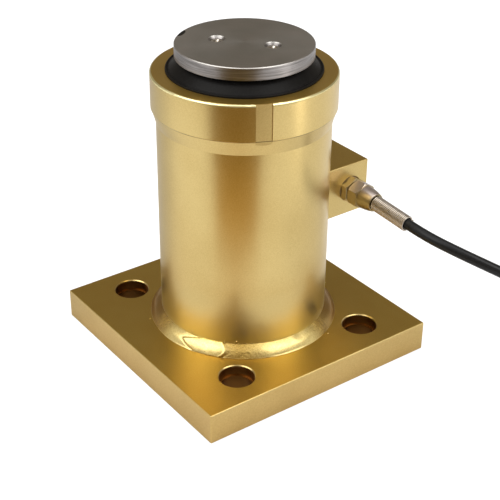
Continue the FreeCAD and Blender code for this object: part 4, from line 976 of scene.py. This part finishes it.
def weld_finish():
    """Gold paint over rough metal: dark creases, a few pores and a coarse grain where marked."""
    film = {"coat_weight": BEAD_FILM_WEIGHT, "coat_roughness": FILM_ROUGHNESS}
    finish = Finish("weld_paint", BEAD_PALE, 1.0, BEAD_ROUGHNESS, **film)
    coarse = finish.marked("coarse")
    grain = finish.noise(GRAINS_PER_METRE, 4.0, 0.75)
    patches = finish.noise(130, 3.0)
    pores = finish.stretch(finish.spots(330), 0.05, 0.11, 1, 0)
    rare = finish.stretch(finish.noise(210, 1.0), 0.60, 0.64)
    pits = finish.maths("MULTIPLY", finish.stretch(grain, 0.36, 0.47, 0.8, 0), coarse)
    # The dark colour in the crease is painted shade.
    pits_and_crease = finish.maths("MAXIMUM", pits, finish.marked("crease"))
    dark = finish.maths("MAXIMUM", finish.maths("MULTIPLY", pores, rare), pits_and_crease)
    tone = finish.mix(finish.stretch(grain, 0.35, 0.6), BEAD_DEEP, BEAD_PALE)
    tone = finish.mix(finish.maths("MULTIPLY", coarse, DULL_SHARE), tone, BEAD_DULL)
    # Brown far round the sides: painted shade.
    tone = finish.mix(finish.maths("MULTIPLY", finish.marked("tanned"), END_SHADE_SHARE), tone, BEAD_END_SHADE)
    finish.colour(finish.mix(finish.maths("MULTIPLY", dark, DARK_SHARE), tone, BEAD_DARK))
    finish.roughness(finish.stretch(patches, 0.35, 0.65, BEAD_SMOOTH, BEAD_ROUGH))
    relief = finish.maths("MULTIPLY", grain, finish.stretch(coarse, 0, 1, RELIEF_WHERE_FINE, 1))
    finish.bump((relief, RELIEF_DEPTH, 1.0), (pores, PORE_DEPTH, 0.4))
    return finish


finish_piece(bead, "weld_bead", weld_finish().material)
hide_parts("base_weld")
print("weld bead has", len(bead.data.polygons), "faces")

# %% [markdown]
# ## The floor
#
# Metal shows what is round it, so the surroundings matter as much as the lamps. The camera sees a pure
# white floor that keeps the object's shadow. Reflections see another floor: grey, with a painted shadow
# that is darker and warmer close to the plate, and painted shade in one stretch behind at the left, which
# the left edge of the tube mirrors. Light Path tells the two apart. Under the plate the floor does not glow
# at all.

# %% Floor
FLOOR_SIZE = 12.0
FLOOR_DROP = 0.05 * MM
FLOOR_SHADE = (0.58, 0.58, 0.58)
FLOOR_SHADOW_NEAR = (0.50, 0.45, 0.40)
FLOOR_NEAR = 0.076
FLOOR_FAR = 0.135
DIM_FLOOR_SIDE = math.radians(100)
DIM_FLOOR_FROM = 0.70
DIM_FLOOR_TO = 0.97
DIM_FLOOR_SHARE = 0.66
PLATE_HALF = 75 * MM
GLOW_STARTS = 2 * MM
GLOW_FULL = 1 * MM
GLOW_STRENGTH = 0.80
SHADOW_SHADE = (0.30, 0.30, 0.30)


def floor_material():
    """White for the camera with the object's shadow kept, and a lit grey surface for everything else."""
    material = bpy.data.materials.new("studio_floor")
    material.use_nodes = True
    steps = Nodes(material.node_tree)
    steps.tree.nodes.clear()
    place = steps.add("ShaderNodeTexCoord").outputs["Object"]
    sides = [steps.maths("ABSOLUTE", steps.part(place, axis)) for axis in "XY"]
    reach = steps.maths("MAXIMUM", *sides)
    # Darker and warmer near the plate: a painted contact shadow.
    shade = steps.mix(steps.stretch(reach, FLOOR_NEAR, FLOOR_FAR), FLOOR_SHADOW_NEAR, FLOOR_SHADE)
    # A dimmer stretch behind at the left is painted shade.
    heading = steps.vector("NORMALIZE", place)
    dim_side = (math.cos(DIM_FLOOR_SIDE), math.sin(DIM_FLOOR_SIDE), 0)
    toward = steps.vector("DOT_PRODUCT", heading, dim_side)
    dimming = steps.stretch(toward, DIM_FLOOR_FROM, DIM_FLOOR_TO, 1, DIM_FLOOR_SHARE)
    lit = steps.made("ShaderNodeBsdfDiffuse", Color=steps.vector("MULTIPLY", shade, dimming))
    strength = steps.stretch(reach, PLATE_HALF - GLOW_STARTS, PLATE_HALF - GLOW_FULL, 0, GLOW_STRENGTH)
    white = steps.add("ShaderNodeAddShader")
    steps.link(steps.made("ShaderNodeBsdfDiffuse", Color=SHADOW_SHADE), white.inputs[0])
    steps.link(steps.made("ShaderNodeEmission", Strength=strength), white.inputs[1])
    seen = steps.add("ShaderNodeLightPath").outputs["Is Camera Ray"]
    output = steps.add("ShaderNodeOutputMaterial")
    steps.link(steps.choose(seen, lit, white.outputs[0]), output.inputs["Surface"])
    return material


clear_selection()
bpy.ops.mesh.primitive_plane_add(size=FLOOR_SIZE, location=(0, 0, -FLOOR_DROP))
floor = bpy.context.object
floor.name = "studio_floor"
floor.data.materials.append(floor_material())
print("floor is", FLOOR_SIZE, "m wide")

# %% [markdown]
# ## Lamps
#
# Three large soft lamps light the load cell: one at the left, a weaker one at the right, and one almost
# overhead. Their size matters more than their power, because on satin metal a lamp shows as a pale patch
# of its own shape.

# %% Lamps
LAMP_AIM = Vector((0, 0, 0.08))


def soft_lamp(name, side, height, distance, width, power):
    """A square area lamp that faces the load cell, placed by its angle from the camera's side."""
    light = bpy.data.lights.new(name, "AREA")
    light.shape = "SQUARE"
    light.size = width
    light.energy = power
    lamp = bpy.data.objects.new(name, light)
    angle = camera_side + math.radians(side)
    lamp.location = (distance * math.cos(angle), distance * math.sin(angle), height)
    lamp.rotation_euler = (LAMP_AIM - lamp.location).to_track_quat("-Z", "Y").to_euler()
    bpy.context.scene.collection.objects.link(lamp)
    print(name, "gives", power, "W")


soft_lamp("left_lamp", side=-68, height=0.98, distance=0.75, width=0.95, power=7.5)
soft_lamp("right_lamp", side=62, height=0.95, distance=0.76, width=0.80, power=5.2)
soft_lamp("top_lamp", side=90, height=1.5, distance=0.15, width=1.2, power=5.5)

# %% [markdown]
# ## Cards that only reflections see
#
# One dark card stands low in front of the tube, narrow at its foot and wide above. It glows warm and brighter
# at its foot, as painted light from the floor, and dark above. It gives the tube its dark middle band, as a
# photographer's flag does. A white card at the right keeps the coil of black cable out of the reflection in
# the side of the block.

# %% Dark card and white card
CARD_SIDE = -8.0
CARD_DISTANCE = 0.25
CARD_FOOT_DISTANCE = 0.185
CARD_WIDTH_LOW = 0.15
CARD_WIDTH_HIGH = 0.36
CARD_HEIGHT = 0.16
CARD_FOOT_LIGHT = (0.54, 0.31, 0.03)
CARD_TONE = (0.20, 0.115, 0.012)
CARD_FOOT_UNTIL = 0.22
CARD_DARK_FROM = 0.38
BOUNCE_SIDE = 72.5
BOUNCE_DISTANCE = 0.137
BOUNCE_WIDTH = 0.15
BOUNCE_HEIGHT = 0.058
BOUNCE_SHIFT = 0.010
BOUNCE_TONE = (0.86, 0.86, 0.86)
PLANE_HALF = 0.5


def reflections_only(piece, name, material):
    """Names a studio piece and hides it from everything but reflections."""
    piece.name = name
    piece.data.materials.append(material)
    piece.visible_camera = False
    piece.visible_diffuse = False
    piece.visible_shadow = False
    print(name, "shows in reflections only")


def upright_plane(side, distance, height, shift=0.0):
    """A square metre on its edge, facing the load cell's axis, shifted along itself."""
    angle = camera_side + math.radians(side)
    x = distance * math.cos(angle) - shift * math.sin(angle)
    y = distance * math.sin(angle) + shift * math.cos(angle)
    clear_selection()
    bpy.ops.mesh.primitive_plane_add(
        size=2 * PLANE_HALF,
        location=(x, y, height / 2),
        rotation=(math.pi / 2, 0, angle + math.pi / 2),
    )
    return bpy.context.object


def card_finish(name, tone):
    """A black surface that glows with its own tone, so that no lamp changes it."""
    finish = Finish(name, (0, 0, 0), 0.0, 0.5, emission_strength=1.0)
    finish.shader.inputs["Specular IOR Level"].default_value = 0.0
    finish.shader.inputs["Emission Color"].default_value = (*tone, 1)
    return finish


card = upright_plane(CARD_SIDE, CARD_DISTANCE, CARD_HEIGHT)
card.scale = (1, CARD_HEIGHT, 1)
for corner in card.data.vertices:
    if corner.co.y > 0:
        corner.co.x *= CARD_WIDTH_HIGH
    else:
        corner.co.x *= CARD_WIDTH_LOW
        corner.co.z -= CARD_DISTANCE - CARD_FOOT_DISTANCE
card_paint = card_finish("dark_card", CARD_TONE)
card_height = card_paint.part(card_paint.place, "Y")
# The warmer, brighter foot is painted light from the floor.
card_rise = card_paint.stretch(card_height, CARD_FOOT_UNTIL - PLANE_HALF, CARD_DARK_FROM - PLANE_HALF)
card_tone = card_paint.mix(card_rise, CARD_FOOT_LIGHT, CARD_TONE)
card_paint.link(card_tone, card_paint.shader.inputs["Emission Color"])
reflections_only(card, "dark_card", card_paint.material)

bounce = upright_plane(BOUNCE_SIDE, BOUNCE_DISTANCE, BOUNCE_HEIGHT, BOUNCE_SHIFT)
bounce.scale = (BOUNCE_WIDTH, BOUNCE_HEIGHT, 1)
reflections_only(bounce, "white_card", card_finish("white_card", BOUNCE_TONE).material)

# %% [markdown]
# Two more things show only in reflections. A pale box stands over the put-away coil, so that the gold tube
# does not mirror it, and a bright strip on the floor gives the steel rim its one clear highlight.

# %% Pale cover over the coil and bright strip
COVER_LOW = (0.133, -0.137, 0.0006)
COVER_HIGH = (0.213, -0.055, 0.053)
COVER_TONE = (0.88, 0.88, 0.86)
STRIP_SIDE = 66
STRIP_NEAR = 0.43
STRIP_FAR = 0.56
STRIP_WIDTH = 0.085
STRIP_LEVEL = 0.0006
STRIP_TONE = (4.5, 4.4, 4.3)


def outer_glow(name, tone):
    """Glows from its front and is clear from behind."""
    material = bpy.data.materials.new(name)
    material.use_nodes = True
    steps = Nodes(material.node_tree)
    steps.tree.nodes.clear()
    behind = steps.add("ShaderNodeNewGeometry").outputs["Backfacing"]
    glow = steps.made("ShaderNodeEmission", Color=tone)
    clear = steps.made("ShaderNodeBsdfTransparent")
    output = steps.add("ShaderNodeOutputMaterial")
    steps.link(steps.choose(behind, glow, clear), output.inputs["Surface"])
    return material


clear_selection()
cover_middle = [(low + high) / 2 for low, high in zip(COVER_LOW, COVER_HIGH)]
bpy.ops.mesh.primitive_cube_add(size=1, location=cover_middle)
cover = bpy.context.object
cover.scale = [high - low for low, high in zip(COVER_LOW, COVER_HIGH)]
reflections_only(cover, "coil_cover", outer_glow("coil_cover", COVER_TONE))

strip_angle = camera_side + math.radians(STRIP_SIDE)
strip_middle = (STRIP_NEAR + STRIP_FAR) / 2
clear_selection()
bpy.ops.mesh.primitive_plane_add(
    size=1,
    location=(strip_middle * math.cos(strip_angle), strip_middle * math.sin(strip_angle), STRIP_LEVEL),
    rotation=(0, 0, strip_angle),
)
strip = bpy.context.object
strip.scale = (STRIP_FAR - STRIP_NEAR, STRIP_WIDTH, 1)
reflections_only(strip, "bright_strip", outer_glow("bright_strip", STRIP_TONE))

# %% [markdown]
# ## Surroundings
#
# The world is white for the camera, and an even light for matt surfaces. Reflections see a room that is
# white at the horizon and dim above, so that the flat tops look dark while the upright tube, which mirrors
# the floor, looks bright. Far left and right the white climbs higher, like pale walls, for the tube's edges.

# %% Surroundings
WHITE = (1, 1, 1)
DIM_ROOM = (0.215, 0.188, 0.150)
DUSK_FROM = -0.12
DUSK_TO = 0.08
WALL_FROM = 0.80
WALL_TO = 0.97
WALL_HEIGHT = 0.38
AMBIENT = 0.92


def surroundings():
    """White behind the object for the camera, and a dim room above the horizon for reflections."""
    world = bpy.data.worlds.new("studio")
    bpy.context.scene.world = world
    world.use_nodes = True
    sky = Nodes(world.node_tree)
    sky.tree.nodes.clear()
    direction = sky.add("ShaderNodeTexCoord").outputs["Generated"]
    sideways = sky.vector("DOT_PRODUCT", direction, (math.cos(CAMERA_YAW), math.sin(CAMERA_YAW), 0))
    wall = sky.stretch(sky.maths("ABSOLUTE", sideways), WALL_FROM, WALL_TO, 0, WALL_HEIGHT)
    climb = sky.stretch(sky.maths("SUBTRACT", sky.part(direction, "Z"), wall), DUSK_FROM, DUSK_TO)
    shown = sky.made("ShaderNodeBackground", Color=WHITE)
    mirrored = sky.made("ShaderNodeBackground", Color=sky.mix(climb, WHITE, DIM_ROOM))
    ambient = sky.made("ShaderNodeBackground", Color=WHITE, Strength=AMBIENT)
    path = sky.add("ShaderNodeLightPath")
    glossy = sky.maths("MAXIMUM", path.outputs["Is Glossy Ray"], path.outputs["Is Transmission Ray"])
    unseen = sky.choose(glossy, ambient, mirrored)
    output = sky.add("ShaderNodeOutputWorld")
    sky.link(sky.choose(path.outputs["Is Camera Ray"], unseen, shown), output.inputs["Surface"])
    return world


print("world", surroundings().name, "has a room of", DIM_ROOM, "above the horizon")

# %% [markdown]
